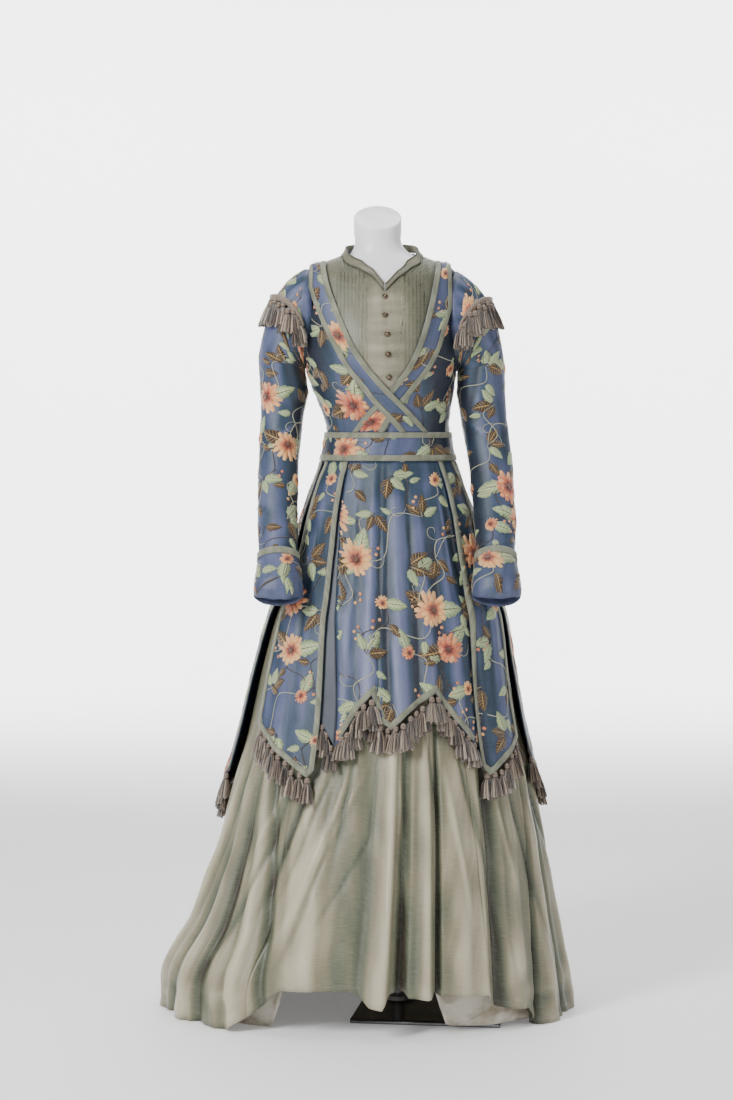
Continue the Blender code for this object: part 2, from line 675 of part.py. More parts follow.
def make_bodice(group, materials, cutters):
    silk, taffeta = materials["blue silk"], materials["yoke taffeta"]
    for side in ("left", "right"):
        grid = []
        for height in FRONT_HEIGHTS:
            gap = seam_turn(height)
            seam = seam_angle(height, side)
            outer = -math.pi + gap if side == "left" else -gap
            seam += -HIDDEN_SEAM if side == "left" else HIDDEN_SEAM
            edges = (outer, seam) if side == "left" else (seam, outer)
            grid.append([torso_point(angle, height) for angle in even(*edges, 8)])
        item = cloth("bodice_side_front_" + side, group, grid, silk)
        cut_armhole(item, cutters[side])
    make_yoke(group, taffeta)
    grid = []
    angles = even(math.radians(0.2), math.radians(179.8), 12)
    for height in BACK_HEIGHTS:
        grid.append([torso_point(angle, height) for angle in angles])
    for share in (0.4, 0.68, 0.86, 1.0):
        row = []
        for angle in angles:
            top = read_line(NECKLINE, math.degrees(angle))
            row.append(torso_point(angle, blend(BACK_HEIGHTS[-1], top, share)))
        grid.append(row)
    back = cloth("bodice_back", group, grid, silk)
    for side in ("left", "right"):
        cut_armhole(back, cutters[side])


def make_yoke(group, taffeta):
    """The plastron between the wraps, bent up row by row to the V of the neck."""
    heights = FRONT_HEIGHTS[-YOKE_ROWS:]
    low, high = heights[0], heights[-1]
    shares = even(0.0, 1.0, 17)
    ends = [seam_angle(high, side) for side in ("left", "right")]
    grid = []
    for height in heights:
        bend = ((height - low) / (high - low)) ** 2.2
        left = seam_angle(height, "left") + HIDDEN_SEAM
        right = seam_angle(height, "right") - HIDDEN_SEAM
        row = []
        for share in shares:
            top_angle, top_height = yoke_top(share, high)
            raised = height + bend * (top_height - high)
            turn = bend
            if top_height > high + 0.001:
                turn = min(max((raised - high) / (top_height - high), 0.0), 1.0)
            angle = blend(left, right, share) + turn * (top_angle - blend(*ends, share))
            if raised < ARMHOLE_TOP:
                half = read_rows(TORSO_RINGS, raised).half_width
                limit = math.acos(min(YOKE_REACH / half, 1.0))
                angle = min(max(angle, limit - math.pi), -limit)
            row.append(torso_point(angle, raised))
        grid.append(row)
    cloth("yoke", group, grid, taffeta)


def yoke_top(share, high):
    """Top edge of the yoke: shoulder ridge, neckline down to the V, and up again."""
    if min(share, 1 - share) < YOKE_RIDGE:
        side, end = ("left", -172) if share < YOKE_RIDGE else ("right", -8)
        t = min(share, 1 - share) / YOKE_RIDGE
        corner = min(t * 2, 1.0)
        height = blend(high, 1.426, corner) if t < 0.5 else blend(1.426, 1.439, t * 2 - 1)
        return blend(seam_angle(high, side), math.radians(end), corner), height
    t = (share - YOKE_RIDGE) / (1 - 2 * YOKE_RIDGE)
    if t < 0.5:
        degrees = blend(-172, -87, 1 - (1 - 2 * t) ** 1.6)
    else:
        degrees = blend(-8, -87, 1 - (2 * t - 1) ** 1.6)
    return math.radians(degrees), read_line(NECKLINE, degrees) - 0.0004


def make_collar(group, taffeta):
    grid = []
    angles = even(-446.5, -87.6, 37)
    for rise, low_lift in ((-0.001, 1.0), (COLLAR_RISE, 0.0)):
        row = []
        for degrees in angles:
            turned = degrees if degrees > -270 else degrees + 360
            height = read_line(NECKLINE, turned)
            front = smooth_step(1.425, 1.40, height)
            lift = 0.0012 + low_lift * blend(0.0024, 2 * LAYER, front)
            row.append(torso_point(math.radians(degrees), height + rise, lift))
        grid.append(row)
    cloth("collar", group, grid, taffeta, CLOTH)


def wrap_lift(x, height, side):
    """Room over the crossing for the left wrap, and over the round of the shoulder."""
    shoulder = SHOULDER_ROOM * smooth_step(1.31, 1.37, height)
    if side == "right":
        return shoulder
    away = (Vector((x, height)) - CROSSING).length
    over = 1 - smooth_step(CROSSING_REACH, CROSSING_REACH + CROSSING_FADE, away)
    return shoulder + CROSSING_LIFT * over


def wrap_point(side, height, share, lift):
    x = blend(wrap_x(height, side + "_outer"), wrap_x(height, side + "_inner"), share)
    return torso_point(front_angle(x, height), height, lift + wrap_lift(x, height, side))


def make_wraps(group, materials):
    base = WRAP_LAYER + CLOTH
    heights = [WAIST_TOP + 0.0006] + FRONT_HEIGHTS[3:]
    for side in ("right", "left"):
        shares = even(0.0, 1.0, 5)
        if side == "right":
            shares.reverse()
        grid = [[wrap_point(side, height, share, base) for share in shares] for height in heights]
        cloth("wrap_" + side, group, grid, materials["blue silk"])
        for edge in ("outer", "inner"):
            grid = []
            for height in heights:
                width = abs(wrap_x(height, side + "_inner") - wrap_x(height, side + "_outer"))
                slope = trim_slope(side, edge, height)
                across = min(TRIM_WIDTH * slope / width, 0.4)
                pair = (0.004, across) if edge == "outer" else (1 - across, 0.996)
                if side == "right":
                    pair = (pair[1], pair[0])
                lift = base + LAYER + RIBBON
                grid.append([wrap_point(side, height, share, lift) for share in pair])
            cloth("wrap_" + side + "_trim_" + edge, group, grid, materials["ribbon"], RIBBON)


def trim_slope(side, edge, height):
    """Widens a trim where its band runs aslant, so that it keeps its true width."""
    low = wrap_x(height - 0.01, side + "_" + edge)
    high = wrap_x(height + 0.01, side + "_" + edge)
    return math.hypot(1.0, (high - low) / 0.02)


def make_belt(group, materials):
    angles = [n * math.tau / BELT_COLUMNS for n in range(BELT_COLUMNS)]
    lift = BELT_LAYER + CLOTH
    heights = (WAIST_LOW, 1.073, WAIST_TOP)
    grid = [[torso_point(angle, height, lift) for angle in angles] for height in heights]
    cloth("belt", group, grid, materials["blue silk"], closed=True)
    lift += LAYER + RIBBON
    for name, low, high in (("low", WAIST_LOW + 0.0002, WAIST_LOW + 0.011),
                            ("top", WAIST_TOP - 0.011, WAIST_TOP - 0.0002)):
        grid = [[torso_point(angle, height, lift) for angle in angles] for height in (low, high)]
        cloth("belt_trim_" + name, group, grid, materials["ribbon"], RIBBON, closed=True)


def sleeve_ring(arm, station, lift=0.0, columns=SLEEVE_COLUMNS):
    """One ring of a sleeve; turn 0 is its outer or upper point."""
    points = []
    for n in range(columns):
        points.append(sleeve_point(arm, station, n * math.tau / columns, lift))
    return points


def sleeve_point(arm, station, turn, lift=0.0):
    """station runs from 0 at the armhole to 1 at the cap's end and 2 at the wrist."""
    caps = CAP_RINGS
    if station <= 1.0:
        key = station * caps[-1].turn
        ring = read_rows(caps, max(key, 0.0))
        swing = math.radians(max(key, 0.0))
        way = Vector((arm.side * math.sin(swing), 0, math.cos(swing)))
        pivot = Vector((arm.pivot_x, 0, arm.pivot_z))
        center = pivot + way * ring.reach / 2
        if station < 0:
            center.x += arm.side * arm.start * station
        half, depth = ring.reach / 2, ring.half_depth
    else:
        rows = sorted(arm.rings)
        ring = read_rows(rows, blend(rows[-1].height, rows[0].height, station - 1))
        center = Vector((ring.x, ring.y, ring.height))
        way = Vector((arm.side, 0, 0))
        half, depth = ring.radius, ring.depth
        lean = math.radians(ring.tilt)
        side_way = Vector((0, math.cos(lean), -math.sin(lean)))
        return center + way * (half + lift) * math.cos(turn) + side_way * (
            (depth + lift) * math.sin(turn) * arm.side)
    side_way = Vector((0, 1, 0))
    return center + way * (half + lift) * math.cos(turn) + side_way * (
        (depth + lift) * math.sin(turn) * arm.side)


def make_sleeves(group, materials):
    stations = [-1.0, 0.0, 0.16, 0.38, 0.62, 0.85, 1.06, 1.22, 1.38, 1.54, 1.70,
                cuff_station(CUFF_TOP), cuff_station(CUFF_MIDDLE), 2.0]
    for arm in ARMS:
        grid = [sleeve_ring(arm, station) for station in reversed(stations)]
        cloth("sleeve_" + arm.name, group, grid, materials["blue silk"], closed=True)
        make_cuff(arm, group, materials)
        make_epaulette(arm, group, materials)


def cuff_station(height):
    return 1 + (ARM_TOP - height) / (ARM_TOP - ARM_LOW)


def cuff_ring(arm, height, lift):
    flare = CUFF_FLARE * smooth_step(CUFF_TOP, CUFF_LOW, height)
    return sleeve_ring(arm, cuff_station(height), lift + flare)


def make_cuff(arm, group, materials):
    top_lift = CUFF_ROOM + CLOTH
    heights = [ARM_LOW, CUFF_MIDDLE, CUFF_TOP - 0.012, CUFF_TOP]
    grid = [cuff_ring(arm, height, top_lift) for height in heights]
    grid.insert(0, [point + CUFF_END for point in grid[0]])
    cloth("cuff_" + arm.name, group, grid, materials["blue silk"], closed=True)
    lift = top_lift + LAYER + RIBBON
    grid = [cuff_ring(arm, height, lift) for height in (CUFF_TOP - 0.012, CUFF_TOP)]
    cloth("cuff_trim_" + arm.name, group, grid, materials["ribbon"], RIBBON, closed=True)
    station = cuff_station(0.822)
    flare = CUFF_FLARE * smooth_step(CUFF_TOP, CUFF_LOW, 0.822)
    seat = sleeve_point(arm, station, -math.pi / 6, top_lift + flare + SEAM)
    middle = sleeve_point(arm, station, math.pi / 2, 0).lerp(
        sleeve_point(arm, station, -math.pi / 2, 0), 0.5)
    make_button("wrist_button_" + arm.name, group, materials["metal"], seat,
                (seat - middle).normalized())


def make_button(name, group, metal, seat, way):
    """A low dome with a flat back, turned about its shank line."""
    radius, rise = BUTTON_RADIUS, 0.0042
    profile = [(0.0, rise), (radius * 0.62, rise * 0.82), (radius, rise * 0.3),
               (radius * 0.9, 0.0), (0.0, 0.0)]
    mesh = bpy.data.meshes.new(name)
    mesh.from_pydata([(x, 0, z) for x, z in profile], [(n, n + 1) for n in range(4)], [])
    mesh.materials.append(metal)
    item = bpy.data.objects.new(name, mesh)
    group.objects.link(item)
    item.rotation_mode = "QUATERNION"
    item.rotation_quaternion = Vector((0, 0, 1)).rotation_difference(way)
    item.location = seat
    spin = item.modifiers.new("turn", "SCREW")
    spin.steps = 10
    spin.render_steps = 10
    spin.use_merge_vertices = True
    spin.merge_threshold = 0.00005
    spin.use_smooth_shade = True


def make_buttons(group, metal):
    for n, (x, height) in enumerate(zip(BUTTON_XS, BUTTON_HEIGHTS), 1):
        angle = front_angle(x, height)
        seat = torso_point(angle, height, 0.0004)
        way = seat - torso_point(angle, height, -0.01)
        make_button("front_button_" + str(n), group, metal, seat, way.normalized())


def make_epaulette(arm, group, materials):
    roots = []
    count = 9
    span = math.radians(96)
    turns = even(-span, span, count + 1)

    def strip_point(turn):
        station = (27 - 25 * abs(turn / span) ** 1.5) / CAP_RINGS[-1].turn
        return sleeve_point(arm, station, turn, 0.0058)

    for a, b in zip(turns, turns[1:]):
        left, right = strip_point(blend(a, b, 0.04)), strip_point(blend(a, b, 0.96))
        middle = (left + right) / 2
        side = Vector((right.x - left.x, right.y - left.y, 0)).normalized()
        out = side.cross(Vector((0, 0, 1))).normalized()
        turn = (a + b) / 2
        sway = 0.008 + 0.012 * max(math.cos(turn), 0.0)
        hang = []
        for drop, half, deep in ((0.010, 0.0062, 0.0036), (0.018, 0.0042, 0.0028),
                                 (0.046, 0.0078, 0.0038)):
            hang.append((Vector((0, 0, -drop)) + out * sway * drop / 0.046, half, deep))
        roots.append((left, right, out, hang, Vector((0, 0, 0.008))))
    tassel_row("epaulette_" + arm.name, group, 0.0012, roots, materials["tassel"])


def armhole_cutter(arm, group):
    """An upright elliptic bar along x, a gap wider than the sleeve's first ring."""
    ring = CAP_RINGS[0]
    bpy.ops.mesh.primitive_cylinder_add(vertices=40, radius=1.0, depth=0.12)
    item = bpy.context.object
    item.name = "armhole_" + arm.name
    for vertex in item.data.vertices:
        x, y, z = vertex.co
        vertex.co = Vector((z, y * (ring.half_depth + SEAM * 2), x * (ring.reach / 2 + SEAM * 2)))
    inner = arm.pivot_x - arm.side * (arm.start + 0.012)
    item.location = (inner + arm.side * 0.06, 0, arm.pivot_z + ring.reach / 2)
    item.data.flip_normals()
    for user in list(item.users_collection):
        user.objects.unlink(item)
    group.objects.link(item)
    item.hide_render = True
    item.display_type = "WIRE"
    return item


def cut_armhole(item, cutter):
    cut = item.modifiers.new("armhole", "BOOLEAN")
    cut.operation = "DIFFERENCE"
    cut.object = cutter
    cut.solver = "EXACT"


def make_form(group, white):
    """The smooth limbless form: hips, chest and neck as one closed solid."""
    columns = FORM_COLUMNS
    angles = [n * math.tau / columns for n in range(columns)]
    heights = [FORM_FOOT, 0.92, 0.98, 1.035] + BACK_HEIGHTS + [
        1.385, 1.405, 1.421, 1.433, 1.443, 1.453, 1.466, 1.480]
    grid = [[form_point(angle, height) for angle in angles] for height in heights]
    top = []
    for angle in angles:
        slant = 0.5 + 0.5 * math.sin(angle)
        height = blend(NECK_FRONT_TOP, NECK_BACK_TOP, slant)
        top.append(Vector((NECK_X + NECK_RADIUS * math.cos(angle),
                           NECK_RADIUS * math.sin(angle), height)))
    grid.append(top)
    points = [point for row in grid for point in row]
    faces = [tuple(reversed(range(columns)))]
    for r in range(len(grid) - 1):
        for c in range(columns):
            n = (c + 1) % columns
            faces.append((r * columns + c, r * columns + n,
                          (r + 1) * columns + n, (r + 1) * columns + c))
    faces.append(tuple((len(grid) - 1) * columns + c for c in range(columns)))
    mesh = bpy.data.meshes.new("form_torso")
    mesh.from_pydata(points, [], faces)
    mesh.shade_smooth()
    mesh.materials.append(white)
    item = bpy.data.objects.new("form_torso", mesh)
    group.objects.link(item)


def form_point(angle, height):
    """The bodice's surface less its wall, held between the flat armhole plates."""
    if height > 1.479:
        inset = 0.0015
    elif height > 1.04:
        inset = CLOTH + FORM_ROOM
    else:
        inset = 0.0
    inset += SHOULDER_ROOM * smooth_step(1.33, 1.38, height) * (1 - smooth_step(1.46, 1.48, height))
    point = torso_point(angle, height, -inset)
    if height < 1.04:
        ring = read_rows(SKIRT_RINGS, max(height, 0.95))
        limit = blend(1.0, 0.9, smooth_step(1.04, 0.9, height))
        point.x = math.cos(angle) * (ring.right - CLOTH - LAYER) * limit
        depth = ring.back if math.sin(angle) > 0 else ring.front
        point.y = math.sin(angle) * (depth - CLOTH - LAYER) * limit
    plate = FORM_SIDE + 0.001
    if height > 1.20:
        point.x = min(max(point.x, SHOULDER_X - plate), SHOULDER_X + plate)
    return point


def make_stand(group, white, black):
    bpy.ops.mesh.primitive_cube_add(size=1.0)
    plate = bpy.context.object
    plate.name = "base_plate"
    for vertex in plate.data.vertices:
        x, y, z = vertex.co
        vertex.co = Vector((x * PLATE_WIDTH, y * PLATE_DEPTH, (z + 0.5) * PLATE_HEIGHT))
    plate.location = (PLATE_X, 0.0035, 0)
    plate.rotation_euler = (0, 0, PLATE_TURN)
    plate.data.materials.append(black)
    edge = plate.modifiers.new("edge", "BEVEL")
    edge.width = 0.0012
    edge.segments = 2
    for user in list(plate.users_collection):
        user.objects.unlink(plate)
    group.objects.link(plate)
    low = PLATE_HEIGHT + 0.0003
    profile = [(0.0, FORM_FOOT - 0.0003), (ROD_RADIUS, FORM_FOOT - 0.0003),
               (ROD_RADIUS, low + 0.010), (0.034, low + 0.007), (0.036, low), (0.0, low)]
    mesh = bpy.data.meshes.new("stand_rod")
    mesh.from_pydata([(x, 0, z) for x, z in profile], [(n, n + 1) for n in range(5)], [])
    mesh.materials.append(white)
    rod = bpy.data.objects.new("stand_rod", mesh)
    group.objects.link(rod)
    rod.location = (ROD_X, ROD_Y, 0)
    spin = rod.modifiers.new("turn", "SCREW")
    spin.steps = 20
    spin.render_steps = 20
    spin.use_merge_vertices = True
    spin.merge_threshold = 0.00005
    spin.use_smooth_shade = True


def main():
    clean_scene()
    group = new_collection("historic_dress_on_form")
    cutter_group = new_collection("cutters")
    materials = {
        "blue silk": make_material("blue silk", (0.16, 0.21, 0.39), 0.45),
        "ribbon": make_material("sage ribbon", (0.35, 0.35, 0.26), 0.6),
        "tassel": make_material("mauve brown tassel", (0.28, 0.21, 0.18), 0.7),
        "taffeta": make_material("grey green taffeta", (0.31, 0.32, 0.26), 0.4),
        "yoke taffeta": make_material("yoke taffeta", (0.25, 0.26, 0.2), 0.45),
        "cotton": make_material("off white cotton", (0.6, 0.58, 0.52), 0.9),
        "metal": make_material("dark metal", (0.12, 0.1, 0.09), 0.35, 0.9),
        "white": make_material("white form", (0.8, 0.8, 0.8), 0.4),
        "black": make_material("black plate", (0.015, 0.015, 0.015), 0.35),
    }
    cutters = {arm.name: armhole_cutter(arm, cutter_group) for arm in ARMS}
    make_form(group, materials["white"])
    make_stand(group, materials["white"], materials["black"])
    make_underskirt(group, materials["taffeta"])
    make_petticoat(group, materials["cotton"])
    make_overskirt(group, materials)
    make_bodice(group, materials, cutters)
    make_collar(group, materials["yoke taffeta"])
    make_wraps(group, materials)
    make_belt(group, materials)
    make_sleeves(group, materials)
    make_buttons(group, materials["metal"])


main()
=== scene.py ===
import math
import random
from collections import namedtuple
from functools import lru_cache

import bmesh
import bpy
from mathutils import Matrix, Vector, noise


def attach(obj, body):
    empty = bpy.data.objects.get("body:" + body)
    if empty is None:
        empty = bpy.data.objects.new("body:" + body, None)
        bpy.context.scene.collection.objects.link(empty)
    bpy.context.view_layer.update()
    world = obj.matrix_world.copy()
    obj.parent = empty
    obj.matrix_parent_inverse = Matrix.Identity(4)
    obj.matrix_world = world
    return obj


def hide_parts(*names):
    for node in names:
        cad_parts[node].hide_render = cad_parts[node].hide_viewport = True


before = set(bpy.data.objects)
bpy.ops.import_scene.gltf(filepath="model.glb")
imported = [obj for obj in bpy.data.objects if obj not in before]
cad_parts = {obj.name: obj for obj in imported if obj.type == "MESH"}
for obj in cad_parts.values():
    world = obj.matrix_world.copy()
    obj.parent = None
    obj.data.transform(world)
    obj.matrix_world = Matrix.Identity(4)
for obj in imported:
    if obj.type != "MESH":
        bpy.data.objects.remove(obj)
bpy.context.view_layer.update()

print("frame loaded")

cloth = {
    "wall": 0.0012,        # silk, taffeta and cotton
    "ribbonWall": 0.0008,
    "ribbonLift": 0.0007,  # gap between a ribbon and what it is sewn on
    "trimWidth": 0.0105,
    "bindingWidth": 0.0105,
}
trimLift = cloth["ribbonLift"] + cloth["ribbonWall"] + 0.0003
waistLow = 1.0455
waistTop = 1.100


# plain sums

def smoothStep(low, high, value):
    t = min(max((value - low) / (high - low), 0.0), 1.0)
    return t * t * (3 - 2 * t)


def blend(a, b, t):
    return a + (b - a) * t


def even(first, last, count):
    return [blend(first, last, n / (count - 1)) for n in range(count)]


def halfTurn(degrees):
    # the same direction, between -180 and 180 degrees
    return (degrees + 180) % 360 - 180


@lru_cache(maxsize=None)
def readRows(rows, key):
    # smooth values of every column of a table whose first column rises
    if key <= rows[0][0]:
        return rows[0]
    if key >= rows[-1][0]:
        return rows[-1]
    i = max(n for n in range(len(rows) - 1) if rows[n][0] <= key)
    before, low = rows[max(i - 1, 0)], rows[i]
    high, after = rows[i + 1], rows[min(i + 2, len(rows) - 1)]
    span = high[0] - low[0]
    t = (key - low[0]) / span
    values = [key]
    for a, b, c, d in zip(before[1:], low[1:], high[1:], after[1:]):
        riseLow = (c - a) / (high[0] - before[0]) * span
        riseHigh = (d - b) / (after[0] - low[0]) * span
        values.append((2 * t ** 3 - 3 * t ** 2 + 1) * b + (t ** 3 - 2 * t ** 2 + t) * riseLow
                      + (3 * t ** 2 - 2 * t ** 3) * c + (t ** 3 - t ** 2) * riseHigh)
    return type(low)(*values)


def readLine(points, key):
    for a, b in zip(points, points[1:]):
        if key <= b[0]:
            return blend(a[1], b[1], min(max((key - a[0]) / (b[0] - a[0]), 0.0), 1.0))
    return points[-1][1]


def curveThrough(points, steps):
    # a smooth line through 2D points
    line = []
    for i in range(len(points) - 1):
        a, b = points[max(i - 1, 0)], points[i]
        c, d = points[i + 1], points[min(i + 2, len(points) - 1)]
        for n in range(steps):
            t = n / steps
            line.append(tuple(0.5 * (2 * q + (r - p) * t + (2 * p - 5 * q + 4 * r - s) * t * t
                                     + (3 * q - p - 3 * r + s) * t ** 3)
                              for p, q, r, s in zip(a, b, c, d)))
    return line + [tuple(points[-1])]


# the figure: rings of the bodice's outer surface, height by height
TorsoRing = namedtuple("TorsoRing", "height halfWidth front back shift")
torsoRings = (
    TorsoRing(0.860, 0.165, 0.110, 0.125, 0.000),
    TorsoRing(0.940, 0.160, 0.115, 0.130, 0.000),
    TorsoRing(1.000, 0.140, 0.110, 0.123, 0.000),
    TorsoRing(1.0455, 0.1293, 0.1063, 0.1163, 0.000),
    TorsoRing(1.100, 0.1190, 0.100, 0.106, 0.000),
    TorsoRing(1.125, 0.1210, 0.103, 0.106, -0.0025),
    TorsoRing(1.162, 0.1305, 0.112, 0.109, -0.0065),
    TorsoRing(1.200, 0.1405, 0.123, 0.113, -0.011),
    TorsoRing(1.250, 0.1500, 0.129, 0.118, -0.014),
    TorsoRing(1.300, 0.1520, 0.121, 0.120, -0.015),
    TorsoRing(1.350, 0.1520, 0.101, 0.115, -0.015),
    TorsoRing(1.395, 0.1500, 0.079, 0.098, -0.0145),
    TorsoRing(1.415, 0.1390, 0.066, 0.085, -0.014),
    TorsoRing(1.430, 0.1050, 0.058, 0.073, -0.013),
    TorsoRing(1.4415, 0.0740, 0.052, 0.062, -0.013),
    TorsoRing(1.452, 0.0580, 0.049, 0.054, -0.016),
    TorsoRing(1.466, 0.0500, 0.0485, 0.0505, -0.019),
    TorsoRing(1.480, 0.0475, 0.0475, 0.0475, -0.020),
)

# rings of the underskirt's outer surface, height by height
SkirtRing = namedtuple("SkirtRing", "height left right front back")
skirtRings = (
    SkirtRing(0.000, 0.429, 0.351, 0.320, 0.570),
    SkirtRing(0.086, 0.423, 0.336, 0.308, 0.520),
    SkirtRing(0.173, 0.373, 0.320, 0.292, 0.475),
    SkirtRing(0.268, 0.338, 0.304, 0.275, 0.435),
    SkirtRing(0.332, 0.318, 0.293, 0.265, 0.410),
    SkirtRing(0.426, 0.297, 0.273, 0.247, 0.373),
    SkirtRing(0.538, 0.266, 0.247, 0.225, 0.322),
    SkirtRing(0.662, 0.238, 0.226, 0.200, 0.267),
    SkirtRing(0.749, 0.214, 0.212, 0.179, 0.229),
    SkirtRing(0.790, 0.196, 0.197, 0.169, 0.210),
    SkirtRing(0.876, 0.167, 0.169, 0.147, 0.177),
    SkirtRing(0.947, 0.148, 0.149, 0.127, 0.147),
    SkirtRing(1.045, 0.115, 0.115, 0.092, 0.102),
)


@lru_cache(maxsize=None)
def torsoBase(angle, height):
    ring = readRows(torsoRings, height)
    depth = ring.back if math.sin(angle) > 0 else ring.front
    return Vector((ring.shift + ring.halfWidth * math.cos(angle), depth * math.sin(angle), height))


def torsoPoint(angle, height, lift=0.0):
    around = torsoBase(angle + 0.02, height) - torsoBase(angle - 0.02, height)
    upward = torsoBase(angle, height + 0.002) - torsoBase(angle, height - 0.002)
    return torsoBase(angle, height) + around.cross(upward).normalized() * lift


def frontAngle(x, height):
    ring = readRows(torsoRings, height)
    return -math.acos(min(max((x - ring.shift) / ring.halfWidth, -0.9998), 0.9998))


def skirtRing(angle, height, lift=0.0):
    ring = readRows(skirtRings, height)
    cosine, sine = math.cos(angle), math.sin(angle)
    half = ring.right if cosine > 0 else ring.left
    depth = ring.back if sine > 0 else ring.front
    outward = Vector((cosine / half, sine / depth, 0)).normalized()
    return Vector((half * cosine, depth * sine, height)) + outward * lift


# meshes

def flatOf(grid):
    # where each point of a cloth lies on the flat cut, in metres
    middle = len(grid[0]) // 2
    down, rows = 0.0, []
    for r, row in enumerate(grid):
        if r:
            down += (row[middle] - grid[r - 1][middle]).length
        along, places = 0.0, [0.0]
        for a, b in zip(row, row[1:]):
            along += (b - a).length
            places.append(along)
        rows.append([(place - along / 2, down) for place in places])
    return rows


def gridFaces(rows, columns, closed):
    faces = []
    for r in range(rows - 1):
        for c in range(columns if closed else columns - 1):
            n = (c + 1) % columns
            faces.append((r * columns + c, r * columns + n,
                          (r + 1) * columns + n, (r + 1) * columns + c))
    return faces


def addMesh(name, points, faces, materials, flats=None, slots=None, values=None):
    # flats holds one flat place for each corner of each face
    mesh = bpy.data.meshes.new(name)
    mesh.from_pydata(points, [], faces)
    mesh.shade_smooth()
    for material in materials:
        mesh.materials.append(material)
    if slots:
        mesh.polygons.foreach_set("material_index", slots)
    for label, corners in (flats or {}).items():
        layer = mesh.uv_layers.new(name=label)
        layer.data.foreach_set("uv", [x for corner in corners for x in corner])
    for label, numbers in (values or {}).items():
        mesh.attributes.new(label, "FLOAT", "POINT").data.foreach_set("value", numbers)
    item = bpy.data.objects.new(name, mesh)
    bpy.context.scene.collection.objects.link(item)
    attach(item, "root")
    return item


def addCloth(name, grid, material, wall, closed=False, folds=None, keep=None, inside=None):
    # rows run from low to high and columns to the left seen from inside, so faces point out
    rows, columns = len(grid), len(grid[0])
    flat = flatOf([row + row[:1] for row in grid] if closed else grid)
    faces = gridFaces(rows, columns, closed)
    if keep:
        faces = [face for face in faces if keep(face)]
    corners = []
    for face in faces:
        wrapped = closed and face[0] % columns == columns - 1
        for n, index in enumerate(face):
            row, column = divmod(index, columns)
            corners.append(flat[row][columns if wrapped and n in (1, 2) else column])
    points = [point for row in grid for point in row]
    # the value 'fold' is painted shade and painted highlight: the materials darken the colour where it is
    # low and lighten it where it is high
    values = {"fold": folds if folds else [0.0] * len(points)}
    used = sorted({index for face in faces for index in face})
    if len(used) < len(points):
        order = {index: n for n, index in enumerate(used)}
        points = [points[index] for index in used]
        faces = [tuple(order[index] for index in face) for face in faces]
        values = {"fold": [values["fold"][index] for index in used]}
    item = addMesh(name, points, faces, [material], {"flat": corners}, values=values)
    shell = item.modifiers.new("wall", "SOLIDIFY")
    shell.thickness = wall
    shell.offset = -1.0
    if inside:
        item.data.materials.append(inside)
        shell.material_offset = 1
    return item


leastShare = 0.31


def declareCloth(grid, closed=False):
    # the longest lines across and up the piece's own grid, and the area of its cells;
    # the yoke's and the left pleat's areas are smaller than leastShare and are raised to it
    rows = [row + row[:1] for row in grid] if closed else grid
    wide = max(sum((b - a).length for a, b in zip(row, row[1:])) for row in rows)
    columns = [[row[c] for row in rows] for c in range(len(rows[0]))]
    long = max(sum((b - a).length for a, b in zip(line, line[1:])) for line in columns)
    area = 0.0
    for low, high in zip(rows, rows[1:]):
        for c in range(len(low) - 1):
            across, up = high[c + 1] - low[c], high[c] - low[c + 1]
            area += across.cross(up).length / 2
    area = min(max(area, leastShare * wide * long), wide * long)


# materials: every one has weave or grain from its nodes, at the size that the cloth has

